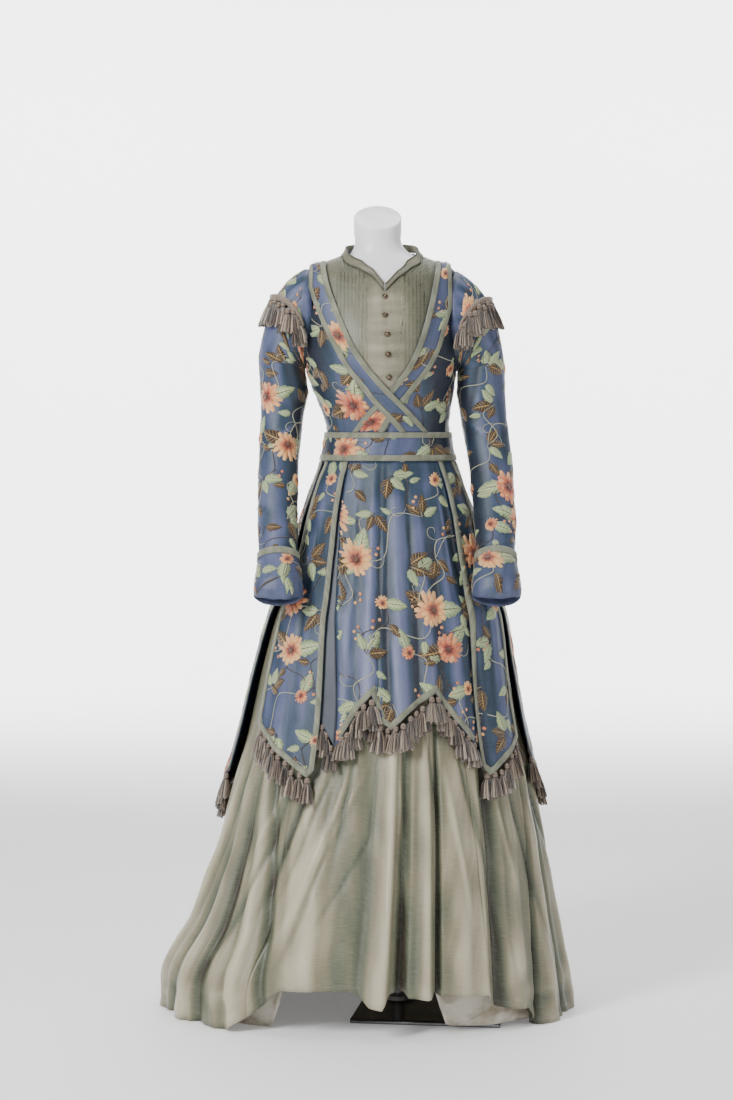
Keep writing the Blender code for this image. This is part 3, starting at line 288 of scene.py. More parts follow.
class Nodes:
    def __init__(self, name, roughness, metallic=0.0, sheen=0.0, specular=0.5):
        self.material = bpy.data.materials.new(name)
        self.material.use_nodes = True
        self.tree = self.material.node_tree
        self.shader = self.tree.nodes["Principled BSDF"]
        self.shader.inputs["Roughness"].default_value = roughness
        self.shader.inputs["Metallic"].default_value = metallic
        self.shader.inputs["Sheen Weight"].default_value = sheen
        self.shader.inputs["Specular IOR Level"].default_value = specular

    def add(self, kind, links=None, values=None, **settings):
        node = self.tree.nodes.new("ShaderNode" + kind)
        for key, value in settings.items():
            setattr(node, key, value)
        for key, value in (values or {}).items():
            node.inputs[key].default_value = value
        for key, socket in (links or {}).items():
            self.tree.links.new(socket, node.inputs[key])
        return node

    def flat(self, scale, turn=0.0, label="flat"):
        # the flat cut's own metres, scaled across and along
        place = self.add("UVMap", uv_map=label).outputs["UV"]
        return self.add("Mapping", {"Vector": place},
                        {"Scale": (*scale, 1.0), "Rotation": (0, 0, turn)}).outputs["Vector"]

    def noise(self, where, scale=1.0, detail=2.0, rough=0.5):
        return self.add("TexNoise", {"Vector": where},
                        {"Scale": scale, "Detail": detail, "Roughness": rough}).outputs["Fac"]

    def ramp(self, factor, stops):
        # stops are (place, sRGB 0-255 colour) pairs
        node = self.add("ValToRGB", {"Fac": factor})
        band = node.color_ramp
        while len(band.elements) < len(stops):
            band.elements.new(0.5)
        for element, (place, color) in zip(band.elements, stops):
            element.position = place
            element.color = linear(color)
        return node.outputs["Color"]

    def mix(self, factor, a, b, kind="MIX"):
        node = self.add("Mix", data_type="RGBA", blend_type=kind)
        for key, value in (("Factor", factor), ("A", a), ("B", b)):
            socket = [item for item in node.inputs
                      if item.name == key and item.type in ("VALUE", "RGBA") and item.enabled][0]
            if isinstance(value, bpy.types.NodeSocket):
                self.tree.links.new(value, socket)
            else:
                socket.default_value = value
        return [item for item in node.outputs if item.enabled][0]

    def sum(self, kind, a, b=0.5):
        node = self.add("Math", operation=kind)
        for n, value in enumerate((a, b)):
            if isinstance(value, bpy.types.NodeSocket):
                self.tree.links.new(value, node.inputs[n])
            else:
                node.inputs[n].default_value = value
        return node.outputs[0]

    def value(self, label):
        return self.add("Attribute", attribute_name=label).outputs["Fac"]

    def color(self, socket):
        self.tree.links.new(socket, self.shader.inputs["Base Color"])

    def rough(self, socket, low, high):
        node = self.add("MapRange", {"Value": socket}, {"To Min": low, "To Max": high})
        self.tree.links.new(node.outputs["Result"], self.shader.inputs["Roughness"])

    def bump(self, heights):
        # heights are (socket, strength, depth in metres)
        before = None
        for socket, strength, depth in heights:
            node = self.add("Bump", {"Height": socket}, {"Strength": strength, "Distance": depth})
            if before:
                self.tree.links.new(before, node.inputs["Normal"])
            before = node.outputs["Normal"]
        self.tree.links.new(before, self.shader.inputs["Normal"])

    def weave(self, pitch):
        # plain weave: threads across and along, a thread every pitch metres
        place = self.add("SeparateXYZ", {"Vector": self.flat((1.0, 1.0))})
        lines = [self.sum("SINE", self.sum("MULTIPLY", place.outputs[axis], math.tau / pitch))
                 for axis in ("X", "Y")]
        return self.sum("MULTIPLY", lines[0], lines[1])


def linear(color):
    parts = []
    for value in color:
        share = value / 255
        parts.append(share / 12.92 if share <= 0.04045 else ((share + 0.055) / 1.055) ** 2.4)
    return (*parts, 1.0)


# in the silk, wrong side, taffeta and yoke looks, 'deep' and the teal and green colours are painted shade
# for the hollows of folds, and the pale and light colours a painted highlight for their ridges
silkLook = {
    "ground": (76, 84, 116), "pale": (110, 117, 146), "teal": (30, 54, 72),
    "deep": (11, 22, 34), "roughness": 0.36, "sheen": 0.12,
}
wrongSideLook = {
    **silkLook, "ground": (66, 72, 84), "pale": (88, 94, 104), "teal": (56, 64, 74), "deep": (40, 46, 54),
}
taffetaLook = {
    "mid": (122, 116, 94), "light": (184, 176, 150), "green": (86, 94, 77),
    "deep": (38, 34, 25), "roughness": 0.30, "sheen": 0.10,
}
yokeLook = {
    "mid": (112, 109, 90), "light": (168, 161, 140), "green": (82, 85, 68),
    "deep": (40, 39, 29), "roughness": 0.36, "sheen": 0.12,
}
ribbonLook = {"light": (142, 144, 122), "dark": (98, 102, 82), "roughness": 0.5, "rib": 0.0011}
tasselLook = {
    "light": (182, 164, 144), "mid": (98, 82, 69), "dark": (26, 19, 16), "roughness": 0.55,
    "strands": 24, "length": 0.048, "width": 0.0310, "step": 0.0185,
}
cottonLook = {"light": (214, 208, 194), "dirt": (150, 138, 118), "roughness": 0.9}


def makeSilk(name, look):
    # warp and weft of two colours; the value 'fold' paints shade into the colour, teal to near black in
    # the hollows of folds, and a painted highlight toward the pale colour on their ridges
    nodes = Nodes(name, look["roughness"], sheen=look["sheen"])
    nodes.shader.inputs["Sheen Tint"].default_value = linear((165, 175, 205))
    streaks = nodes.noise(nodes.flat((38, 3.5)), 1.0, 3.0)
    clouds = nodes.noise(nodes.flat((9, 5)), 1.0, 2.0)
    slubs = nodes.noise(nodes.flat((60, 900)), 1.0, 2.0)
    tone = nodes.sum("ADD", nodes.sum("MULTIPLY", nodes.value("fold"), 0.42),
                     nodes.sum("ADD", nodes.sum("MULTIPLY", streaks, 0.45),
                               nodes.sum("MULTIPLY", clouds, 0.5)))
    ground = nodes.ramp(tone, [(0.05, look["deep"]), (0.32, look["teal"]),
                               (0.52, look["ground"]), (0.85, look["pale"])])
    nodes.color(nodes.mix(0.10, ground, nodes.ramp(slubs, [(0.35, look["deep"]),
                                                            (0.65, look["pale"])])))
    nodes.rough(slubs, 0.36, 0.50)
    nodes.bump([(nodes.noise(nodes.flat((26, 14)), 1.0, 3.0), 0.35, 0.004),
                (slubs, 0.25, 0.0003), (nodes.weave(0.0007), 0.3, 0.0001)])
    return nodes.material


def makeTaffeta(name, look):
    # slightly uneven weft threads; the value 'fold' paints a highlight on the ridges and green to dark
    # painted shade in the hollows
    nodes = Nodes(name, look["roughness"], sheen=look["sheen"])
    nodes.shader.inputs["Sheen Tint"].default_value = linear((205, 210, 190))
    streaks = nodes.noise(nodes.flat((30, 2.2)), 1.0, 3.0)
    clouds = nodes.noise(nodes.flat((7, 3.5)), 1.0, 2.0)
    slubs = nodes.noise(nodes.flat((45, 700)), 1.0, 2.0)
    tone = nodes.sum("ADD", nodes.sum("MULTIPLY", nodes.value("fold"), 0.45),
                     nodes.sum("ADD", nodes.sum("MULTIPLY", streaks, 0.5),
                               nodes.sum("MULTIPLY", clouds, 0.45)))
    ground = nodes.ramp(tone, [(0.05, look["deep"]), (0.30, look["green"]),
                               (0.52, look["mid"]), (0.85, look["light"])])
    nodes.color(nodes.mix(0.10, ground, nodes.ramp(slubs, [(0.35, look["deep"]),
                                                            (0.65, look["light"])])))
    nodes.rough(slubs, look["roughness"] - 0.05, look["roughness"] + 0.09)
    nodes.bump([(nodes.noise(nodes.flat((20, 9)), 1.0, 3.0), 0.4, 0.005),
                (slubs, 0.3, 0.0003), (nodes.weave(0.0008), 0.3, 0.0001)])
    return nodes.material


def makeRibbon():
    look, nodes = ribbonLook, Nodes("sage ribbon", ribbonLook["roughness"], sheen=0.3)
    ribs = nodes.sum("SINE", nodes.sum("MULTIPLY", nodes.add(
        "SeparateXYZ", {"Vector": nodes.flat((1.0, 1.0))}).outputs["Y"], math.tau / look["rib"]))
    patches = nodes.noise(nodes.flat((60, 25)), 1.0, 3.0)
    nodes.color(nodes.ramp(patches, [(0.3, look["dark"]), (0.7, look["light"])]))
    nodes.rough(patches, 0.48, 0.62)
    nodes.bump([(ribs, 0.6, 0.0003), (nodes.weave(0.0006), 0.3, 0.0001)])
    return nodes.material


def makeTasselThread():
    # twisted threads: the value 'thread' tells the strands apart and carries a painted shade at their
    # tops under the head
    look, nodes = tasselLook, Nodes("tassel thread", tasselLook["roughness"], sheen=0.4)
    grain = nodes.noise(nodes.add("TexCoord").outputs["Object"], 900.0, 2.0)
    tone = nodes.sum("ADD", nodes.sum("MULTIPLY", nodes.value("thread"), 0.75),
                     nodes.sum("MULTIPLY", grain, 0.3))
    nodes.color(nodes.ramp(tone, [(0.12, look["dark"]), (0.5, look["mid"]), (0.9, look["light"])]))
    nodes.rough(grain, 0.5, 0.72)
    nodes.bump([(grain, 0.6, 0.0004)])
    return nodes.material


def makeCotton():
    look, nodes = cottonLook, Nodes("worn cotton", cottonLook["roughness"])
    stains = nodes.noise(nodes.flat((14, 22)), 1.0, 4.0, 0.6)
    nodes.color(nodes.ramp(stains, [(0.38, look["dirt"]), (0.58, look["light"])]))
    nodes.rough(stains, 0.82, 0.95)
    nodes.bump([(nodes.noise(nodes.flat((40, 25)), 1.0, 3.0), 0.5, 0.004),
                (nodes.weave(0.0009), 0.5, 0.0002)])
    return nodes.material


def makeThread(name, stops, pitch=0.0009):
    # satin stitch: colour runs along the shape, threads lie side by side
    nodes = Nodes(name, 0.42, sheen=0.35)
    place = nodes.add("SeparateXYZ", {"Vector": nodes.flat((1.0, 1.0), label="shape")})
    fine = nodes.add("SeparateXYZ", {"Vector": nodes.flat((1.0, 1.0))})
    grain = nodes.noise(nodes.flat((900, 300)), 1.0, 2.0)
    along = nodes.sum("ADD", place.outputs["X"], nodes.sum("MULTIPLY", grain, 0.22))
    shade = nodes.ramp(nodes.sum("SUBTRACT", along, 0.11), stops)
    tint = nodes.ramp(nodes.value("tint"), [(0.0, (222, 150, 140)), (0.45, (255, 232, 216)),
                                            (1.0, (255, 246, 218))])
    nodes.color(nodes.mix(0.9, shade, tint, "MULTIPLY"))
    nodes.rough(grain, 0.34, 0.52)
    stitches = nodes.sum("SINE", nodes.sum("MULTIPLY", fine.outputs["Y"], math.tau / pitch))
    nodes.bump([(stitches, 0.5, 0.0003), (grain, 0.4, 0.0003)])
    return nodes.material


def makeLeafThread(name, stops, vein):
    # side veins slant out from the midrib, in the shape's own measures
    nodes = Nodes(name, 0.45, sheen=0.3)
    place = nodes.add("SeparateXYZ", {"Vector": nodes.flat((1.0, 1.0), label="shape")})
    side = nodes.sum("ABSOLUTE", place.outputs["Y"])
    grain = nodes.noise(nodes.flat((900, 300)), 1.0, 2.0)
    slant = nodes.sum("SUBTRACT", nodes.sum("MULTIPLY", place.outputs["X"], 7.0),
                      nodes.sum("MULTIPLY", side, 1.3))
    lines = nodes.sum("LESS_THAN", nodes.sum("FRACT", slant), 0.11)
    rib = nodes.sum("LESS_THAN", side, 0.07)
    ground = nodes.ramp(nodes.sum("ADD", nodes.sum("MULTIPLY", side, 0.7),
                                  nodes.sum("MULTIPLY", grain, 0.4)), stops)
    nodes.color(nodes.mix(nodes.sum("MAXIMUM", lines, rib), ground, linear(vein)))
    nodes.rough(grain, 0.38, 0.55)
    stitches = nodes.sum("SINE", nodes.sum("MULTIPLY", slant, 60.0))
    nodes.bump([(lines, 0.6, 0.0004), (stitches, 0.3, 0.0002)])
    return nodes.material


def makeHard(name, colors, roughness, metallic, scale, depth):
    nodes = Nodes(name, roughness, metallic)
    cloud = nodes.noise(nodes.add("TexCoord").outputs["Object"], scale, 4.0)
    nodes.color(nodes.ramp(cloud, [(0.3, colors[0]), (0.7, colors[1])]))
    nodes.rough(cloud, roughness - 0.06, roughness + 0.08)
    nodes.bump([(cloud, 0.3, depth)])
    return nodes.material


silk = makeSilk("blue changeable silk", silkLook)
wrongSide = makeSilk("slate wrong side of the silk", wrongSideLook)
taffeta = makeTaffeta("grey green taffeta", taffetaLook)
yokeTaffeta = makeTaffeta("yoke taffeta", yokeLook)
ribbon = makeRibbon()
tasselThread = makeTasselThread()
cotton = makeCotton()
piping = makeTaffeta("dark piping", {**yokeLook, "light": (88, 86, 74), "mid": (70, 70, 60)})
whiteForm = makeHard("smooth white form", ((242, 241, 244), (248, 247, 250)), 0.34, 0.0, 14.0, 0.0002)
darkMetal = makeHard("dark button metal", ((66, 54, 44), (134, 118, 100)), 0.26, 0.95, 500.0, 0.0003)
blackPlate = makeHard("black plate", ((10, 10, 11), (20, 20, 22)), 0.22, 0.0, 40.0, 0.0001)
silverEdge = makeHard("silver edge", ((150, 150, 152), (178, 178, 182)), 0.3, 1.0, 300.0, 0.0001)
grayMetal = makeHard("stand metal", ((176, 176, 178), (196, 196, 200)), 0.35, 1.0, 120.0, 0.0001)
threads = [
    makeThread("petal thread", [(0.0, (118, 44, 46)), (0.25, (186, 98, 72)),
                                (0.5, (226, 160, 104)), (1.0, (238, 204, 150))]),
    makeThread("inner petal thread", [(0.0, (84, 30, 34)), (0.35, (158, 76, 60)),
                                      (0.75, (212, 138, 92)), (1.0, (236, 188, 132))]),
    makeThread("flower heart thread", [(0.0, (120, 72, 34)), (0.6, (92, 50, 26)),
                                       (1.0, (64, 34, 18))]),
    makeLeafThread("brown leaf thread", [(0.1, (30, 20, 8)), (0.8, (58, 38, 16))],
                   (176, 138, 70)),
    makeLeafThread("pale leaf thread", [(0.1, (190, 200, 152)), (0.9, (128, 148, 106))],
                   (70, 78, 38)),
    makeThread("vine thread", [(0.0, (150, 168, 158)), (1.0, (186, 194, 170))]),
    makeThread("stem thread", [(0.0, (34, 32, 34)), (1.0, (62, 46, 32))]),
    makeThread("berry thread", [(0.0, (204, 120, 96)), (0.6, (236, 196, 148)),
                                (1.0, (150, 96, 60))]),
]
print("materials ready")


# embroidery: thin raised shapes, laid out on the flat cloth and carried over to its surface

class Carrier:
    # place(u, v): u across from the middle, v down from the top, both in metres
    def __init__(self, point, rows=56, columns=36, inside=None):
        self.rows, self.columns, self.inside = rows, columns, inside
        self.grid = [[point(c / (columns - 1), r / (rows - 1)) for c in range(columns)]
                     for r in range(rows)]
        middle = columns // 2
        self.down, self.wide, self.normals = [0.0], [], []
        for r, row in enumerate(self.grid):
            if r:
                self.down.append(self.down[-1] + (row[middle] - self.grid[r - 1][middle]).length)
            self.wide.append(sum((b - a).length for a, b in zip(row, row[1:])))
            upper, lower = self.grid[max(r - 1, 0)], self.grid[min(r + 1, rows - 1)]
            line = []
            for c in range(columns):
                across = row[min(c + 1, columns - 1)] - row[max(c - 1, 0)]
                line.append(across.cross(upper[c] - lower[c]).normalized())
            self.normals.append(line)

    def place(self, u, v, lift=0.0):
        if not 0.0 <= v < self.down[-1]:
            return None
        r = 0
        while self.down[r + 1] <= v:
            r += 1
        fall = (v - self.down[r]) / (self.down[r + 1] - self.down[r])
        s = 0.5 + u / blend(self.wide[r], self.wide[r + 1], fall)
        if not 0.0 <= s < 1.0 or (self.inside and not self.inside(s, (r + fall) / (self.rows - 1))):
            return None
        c = int(s * (self.columns - 1))
        step = s * (self.columns - 1) - c
        spots = []
        for rows in (self.grid, self.normals):
            spots.append(rows[r][c].lerp(rows[r][c + 1], step).lerp(
                rows[r + 1][c].lerp(rows[r + 1][c + 1], step), fall))
        return spots[0] + spots[1].normalized() * lift


class Stitching:
    def __init__(self, carrier):
        self.carrier = carrier
        self.points, self.faces, self.slots = [], [], []
        self.marks, self.tints = [], []

    def spot(self, x, y, rise, a, b, where, turn, tint):
        u = where[0] + x * math.cos(turn) - y * math.sin(turn)
        v = where[1] + x * math.sin(turn) + y * math.cos(turn)
        point = self.carrier.place(u, v, rise)
        if point is None:
            return None
        self.points.append(point)
        self.marks.append((a, b, x, y))
        self.tints.append(tint)
        return len(self.points) - 1

    def patch(self, rows, slot, where=(0.0, 0.0), turn=0.0, tint=0.5):
        # rows of (x, y, rise, shape along, shape across), x along the shape
        placed = [[self.spot(*spot, where, turn, tint) for spot in row] for row in rows]
        for near, far in zip(placed, placed[1:]):
            for c in range(len(near) - 1):
                face = (near[c], near[c + 1], far[c + 1], far[c])
                if None not in face:
                    self.faces.append(face)
                    self.slots.append(slot)

    def disc(self, where, radius, slot, rise, tint, sides=10):
        center = self.spot(0, 0, rise + 0.0006, 0.0, 0.0, where, 0.0, tint)
        ring = []
        for n in range(sides):
            angle = -n * math.tau / sides
            ring.append(self.spot(radius * math.cos(angle), radius * math.sin(angle), rise,
                                  1.0, 0.0, where, 0.0, tint))
        for a, b in zip(ring, ring[1:] + ring[:1]):
            if None not in (a, b, center):
                self.faces.append((center, a, b))
                self.slots.append(slot)

    def finish(self, name):
        flats = {"flat": [], "shape": []}
        for face in self.faces:
            for index in face:
                a, b, x, y = self.marks[index]
                flats["shape"].append((a, b))
                flats["flat"].append((x, y))
        used = sorted({index for face in self.faces for index in face})
        order = {index: n for n, index in enumerate(used)}
        item = addMesh(name, [self.points[index] for index in used],
                       [tuple(order[index] for index in face) for face in self.faces],
                       threads, flats, self.slots, {"tint": [self.tints[n] for n in used]})
        shell = item.modifiers.new("stitches", "SOLIDIFY")
        shell.thickness = 0.00035
        shell.offset = -1.0
        return item


patternLook = {
    "across": 0.080, "down": 0.084,   # spacing of the motifs on the flat cloth
    "flower": 0.0345, "leaf": 0.041, "vine": 0.0019, "lift": 0.0006,
}


def petalRows(start, length, wide, bend):
    rows = []
    for n in range(5):
        t = n / 4
        half = wide / 2 * math.sin(math.pi * (0.10 + 0.80 * t)) ** 0.7 * (0.62 + 0.38 * t)
        row = []
        for c in (-1.0, 0.0, 1.0):
            notch = -0.06 * length * (1 - abs(c)) if n == 4 else 0.0
            rise = patternLook["lift"] + 0.0007 * (1 - c * c) * math.sin(math.pi * t)
            row.append((start + length * t + notch, half * c + bend * t * t, rise, t, c))
        rows.append(row)
    return rows


def leafRows(length, wide, bend):
    rows = []
    for n in range(9):
        t = n / 8
        saw = 1.0 + (0.10 if n % 2 else -0.07)
        half = wide / 2 * math.sin(math.pi * t ** 0.72) ** 0.8 * saw if 0 < n < 8 else 0.0006
        row = []
        for c in (-1.0, 0.0, 1.0):
            rise = patternLook["lift"] + 0.0005 * (1 - abs(c)) * math.sin(math.pi * t)
            row.append((length * t, half * c + bend * t * t, rise, t, c))
        rows.append(row)
    return rows


def addFlower(work, where, size, rng, tint):
    start = rng.uniform(0, math.tau)
    for count, reach, wide, slot, lift in ((14, 1.0, 0.38, 0, 0.0), (10, 0.74, 0.34, 0, 0.0005),
                                           (7, 0.48, 0.30, 1, 0.0010)):
        for n in range(count):
            turn = start + (n + rng.uniform(-0.12, 0.12)) * math.tau / count + reach
            long = size * reach * rng.uniform(0.86, 1.06) * (1 + 0.20 * math.cos(turn - start))
            rows = petalRows(size * 0.10, long * 0.9, size * wide, rng.uniform(-0.1, 0.1) * size)
            rows = [[(x, y, rise + lift, a, b) for x, y, rise, a, b in row] for row in rows]
            shade = min(max(tint + rng.uniform(-0.45, 0.45), 0.0), 1.0)
            work.patch(rows, slot, where, turn, shade)
    work.disc(where, size * 0.17, 2, patternLook["lift"] + 0.0016, tint)
    for n in range(8):
        turn = n * math.tau / 8 + start
        spot = (where[0] + size * 0.26 * math.cos(turn), where[1] + size * 0.26 * math.sin(turn))
        work.disc(spot, size * 0.035, 2, patternLook["lift"] + 0.0016, tint, 6)


def addVine(work, line, width, slot):
    rows = []
    for n, (x, y) in enumerate(line):
        ahead, behind = line[min(n + 1, len(line) - 1)], line[max(n - 1, 0)]
        dx, dy = ahead[0] - behind[0], ahead[1] - behind[1]
        long = math.hypot(dx, dy) or 1.0
        share = n / (len(line) - 1)
        half = width / 2 * (0.5 + 0.5 * math.sin(math.pi * min(share * 0.9 + 0.1, 1.0)))
        rows.append([(x - dy / long * half * c, y + dx / long * half * c,
                      patternLook["lift"] + 0.0004 * (1 - abs(c)), share, c)
                     for c in (-1.0, 0.0, 1.0)])
    work.patch(rows, slot)


def addLeaf(work, where, turn, size, slot, rng):
    stem = [(where[0] + size * 0.25 * t * math.cos(turn), where[1] + size * 0.25 * t * math.sin(turn))
            for t in (0.0, 0.7, 1.05)]
    addVine(work, stem, 0.0015, 6)
    work.patch(leafRows(size, size * rng.uniform(0.50, 0.62), rng.uniform(-0.12, 0.12) * size),
               slot, stem[-2], turn, rng.random())


def addTendril(work, where, turn, size, rng):
    # a thin vine that curls in at its end
    side = rng.choice((-1, 1))
    line, x, y, way = [], where[0], where[1], turn
    for n in range(14):
        line.append((x, y))
        way += side * (0.06 + 0.052 * n)
        x += size * 0.107 * math.cos(way)
        y += size * 0.107 * math.sin(way)
    addVine(work, line, 0.0013, 5)


def addBerries(work, where, turn, rng):
    for n in range(3):
        way = turn + (n - 1) * 0.7
        reach = rng.uniform(0.014, 0.020)
        end = (where[0] + reach * math.cos(way), where[1] + reach * math.sin(way))
        addVine(work, curveThrough([where, end], 3), 0.0011, 6)
        work.disc(end, 0.0036, 7, patternLook["lift"], rng.random(), 8)


def layTrails(work, seed):
    # a trailing flower pattern on staggered spots, joined by curling vines
    look, rng = patternLook, random.Random(seed)
    reach = int(max(work.carrier.wide) / 2 / look["across"]) + 1
    last = int(work.carrier.down[-1] / look["down"]) + 1
    spots = {}
    for r in range(-1, last + 1):
        for c in range(-reach - 1, reach + 2):
            spots[r, c] = ((c + 0.5 * (r % 2) + rng.uniform(-0.16, 0.16)) * look["across"],
                           (r + 0.35 + rng.uniform(-0.16, 0.16)) * look["down"])
    for (r, c), where in spots.items():
        kind = (2 * c + 3 * r + seed) % 5
        below = spots.get((r + 1, c - (c + r) % 2))
        if below:
            side = rng.choice((-1, 1))
            dx, dy = below[0] - where[0], below[1] - where[1]
            knees = [(where[0] + dx * t - dy * bow * side, where[1] + dy * t + dx * bow * side)
                     for t, bow in ((0.30, 0.20), (0.68, -0.15))]
            addVine(work, curveThrough([where, *knees, below], 7), look["vine"],
                    5 if rng.random() < 0.55 else 6)
            way = math.atan2(dy, dx)
            addLeaf(work, knees[0], way + side * 1.2, look["leaf"] * rng.uniform(0.55, 0.8),
                    3 + (kind + r) % 2, rng)
            if kind in (1, 4):
                addTendril(work, knees[1], way - side * 1.0, look["leaf"], rng)
            else:
                addBerries(work, knees[1], way - side * 1.3, rng)
        turn = rng.uniform(0, math.tau)
        if kind == 0:
            for n in range(2):
                addLeaf(work, where, turn + 2.4 * n, look["leaf"] * 1.35, 3 + n, rng)
            addFlower(work, where, look["flower"] * rng.uniform(0.9, 1.1), rng, rng.random())
        elif kind == 3:
            addLeaf(work, where, turn, look["leaf"], 4, rng)
            addFlower(work, where, look["flower"] * 0.42, rng, rng.random())
        else:
            for n in range(3):
                addLeaf(work, where, turn + (n - 1) * 0.95, look["leaf"] * rng.uniform(0.75, 1.05),
                        3 + (kind + n // 2) % 2, rng)


def embroider(name, carrier, seed):
    work = Stitching(carrier)
    layTrails(work, seed)
    return work.finish(name + "_embroidery")


# ribbons follow an outline in flat metres, mitred at its corners

def ribbonGrid(carrier, outline, width, lift, step=0.006):
    fine = []
    for a, b in zip(outline, outline[1:]):
        count = max(1, round(math.dist(a, b) / step))
        fine += [(a, b, n / count) for n in range(count)]
    fine.append((outline[-2], outline[-1], 1.0))
    inward = []
    for n, point in enumerate(outline):
        ways = []
        for a, b in ((outline[max(n - 1, 0)], point), (point, outline[min(n + 1, len(outline) - 1)])):
            long = math.dist(a, b)
            if long:
                ways.append(((b[1] - a[1]) / long, -(b[0] - a[0]) / long))
        x, y = sum(way[0] for way in ways), sum(way[1] for way in ways)
        size = math.hypot(x, y)
        x, y = x / size, y / size
        reach = width / max(x * ways[0][0] + y * ways[0][1], 0.55)
        inward.append((point[0] + x * reach, point[1] + y * reach))
    inner = {point: spot for point, spot in zip(outline, inward)}
    rows = ([], [])
    for a, b, t in fine:
        pair = ((blend(a[0], b[0], t), blend(a[1], b[1], t)),
                (blend(inner[a][0], inner[b][0], t), blend(inner[a][1], inner[b][1], t)))
        spots = [carrier.place(*pair[0], lift), carrier.place(*pair[1], lift)]
        if None not in spots:
            rows[0].append(spots[0])
            rows[1].append(spots[1])
    return list(rows)


print("embroidery tools ready")


# underskirt: gores with long folds, and drag creases laid one by one

# folds: angle at the floor and at the top, a half width on each side, in degrees
Fold = namedtuple("Fold", "lowAngle topAngle left right depth top")
underFolds = (
    Fold(-176, -163, 10, 7, 0.012, 0.62), Fold(-165, -154, 3, 6, -0.012, 0.50),
    Fold(-154, -150, 8, 3, 0.011, 0.80), Fold(-148, -147, 2.2, 6, -0.015, 0.78),
    Fold(-138, -147, 5, 3, 0.008, 0.55), Fold(-131, -150, 4, 4, 0.013, 0.85),
    Fold(-122, -149, 3.0, 3.5, -0.015, 0.85),
    Fold(-111, -128, 13, 9, 0.010, 0.90), Fold(-99, -95, 5, 3, -0.008, 0.80),
    Fold(-92.2, -84, 6, 1.5, 0.021, 0.85), Fold(-88, -79.5, 2.6, 3.4, -0.022, 0.85),
    Fold(-79, -71, 4.5, 2.0, 0.017, 0.85), Fold(-75.6, -66, 1.3, 1.8, -0.021, 0.90),
    Fold(-67, -57, 7, 8, 0.009, 0.90), Fold(-59, -48, 5, 1.5, 0.010, 0.90),
    Fold(-54, -43, 3.2, 6, -0.020, 0.90), Fold(-45, -30, 4, 4, 0.007, 0.80),
    Fold(-38, -12, 1.6, 2.6, -0.019, 0.80), Fold(-28, -14, 9, 5, 0.012, 0.85),
    Fold(-18, -6, 2.5, 4, -0.014, 0.80), Fold(-6, 2, 7, 4, 0.013, 0.80),
)
# creases: from angle and height to angle and height, half width and depth in metres
Crease = namedtuple("Crease", "a h b k half depth")
underCreases = (
    Crease(-100, 0.62, -122, 0.36, 0.008, 0.0028), Crease(-97, 0.50, -119, 0.26, 0.008, 0.0026),
    Crease(-95, 0.38, -113, 0.19, 0.008, -0.0024), Crease(-107, 0.56, -126, 0.24, 0.008, -0.0026),
    Crease(-108, 0.61, -131, 0.27, 0.013, -0.0040), Crease(-113, 0.66, -136, 0.36, 0.010, -0.0034),
    Crease(-104, 0.49, -123, 0.17, 0.012, 0.0042), Crease(-118, 0.50, -134, 0.18, 0.014, -0.0038),
    Crease(-110, 0.38, -121, 0.12, 0.011, -0.0030), Crease(-122, 0.58, -141, 0.30, 0.012, 0.0036),
    Crease(-101, 0.58, -109, 0.30, 0.009, -0.0030), Crease(-128, 0.44, -146, 0.10, 0.013, -0.0038),
    Crease(-92, 0.62, -97, 0.34, 0.008, -0.0026), Crease(-86, 0.50, -84, 0.20, 0.009, 0.0028),
    Crease(-76, 0.60, -70, 0.36, 0.008, -0.0026), Crease(-68, 0.50, -61, 0.20, 0.011, 0.0032),
    Crease(-63, 0.62, -56, 0.34, 0.010, -0.0032), Crease(-58, 0.46, -49, 0.14, 0.011, -0.0034),
    Crease(-48, 0.58, -40, 0.26, 0.011, 0.0034), Crease(-42, 0.66, -33, 0.36, 0.010, -0.0030),
    Crease(-36, 0.46, -24, 0.12, 0.012, -0.0036), Crease(-26, 0.62, -14, 0.28, 0.011, 0.0034),
    Crease(-150, 0.60, -166, 0.24, 0.012, -0.0036), Crease(-160, 0.48, -176, 0.12, 0.013, 0.0038),
    Crease(-168, 0.66, -186, 0.34, 0.012, -0.0036), Crease(-14, 0.52, 2, 0.18, 0.012, -0.0036),
    Crease(8, 0.60, 22, 0.22, 0.013, -0.0040), Crease(34, 0.50, 44, 0.10, 0.014, 0.0040),
    Crease(62, 0.58, 74, 0.18, 0.014, -0.0040), Crease(98, 0.54, 90, 0.12, 0.014, 0.0042),
    Crease(124, 0.60, 112, 0.20, 0.013, -0.0040), Crease(146, 0.50, 136, 0.08, 0.014, 0.0040),
    Crease(166, 0.62, 156, 0.22, 0.013, -0.0040),
)
skirtLook = {
    "columnStep": 0.64, "rows": 68, "top": 1.032, "floorRoom": 0.001,
    "backStep": 17, "backDepth": 0.014, "ripple": 0.0036, "crumple": 0.0016,
}
# height of the underskirt's hem, angle by angle
hemLine = (
    (-180.0, 0.001), (-134.0, 0.001), (-127.0, 0.030), (-118.0, 0.083), (-100.0, 0.086),
    (-97.5, 0.078), (-95.0, 0.060), (-91.6, 0.057), (-90.0, 0.084), (-85.5, 0.086),
    (-84.0, 0.075), (-77.0, 0.073), (-75.6, 0.088), (-74.2, 0.076), (-58.0, 0.073),
    (-56.5, 0.052), (-50.0, 0.042), (-41.0, 0.036), (-37.5, 0.001), (180.0, 0.001),
)


def foldSum(folds, degrees, height, power, base=0.0):
    total = 0.0
    for fold in folds:
        rise = max((height - base) / (fold.top - base), 0.0)
        if rise < 1:
            center = blend(fold.lowAngle, fold.topAngle, rise)
            side = halfTurn(degrees - center)
            away = abs(side) / (fold.left if side < 0 else fold.right)
            if away < 1:
                total += fold.depth * (1 - rise) ** power * (0.5 + 0.5 * math.cos(math.pi * away))
    return total


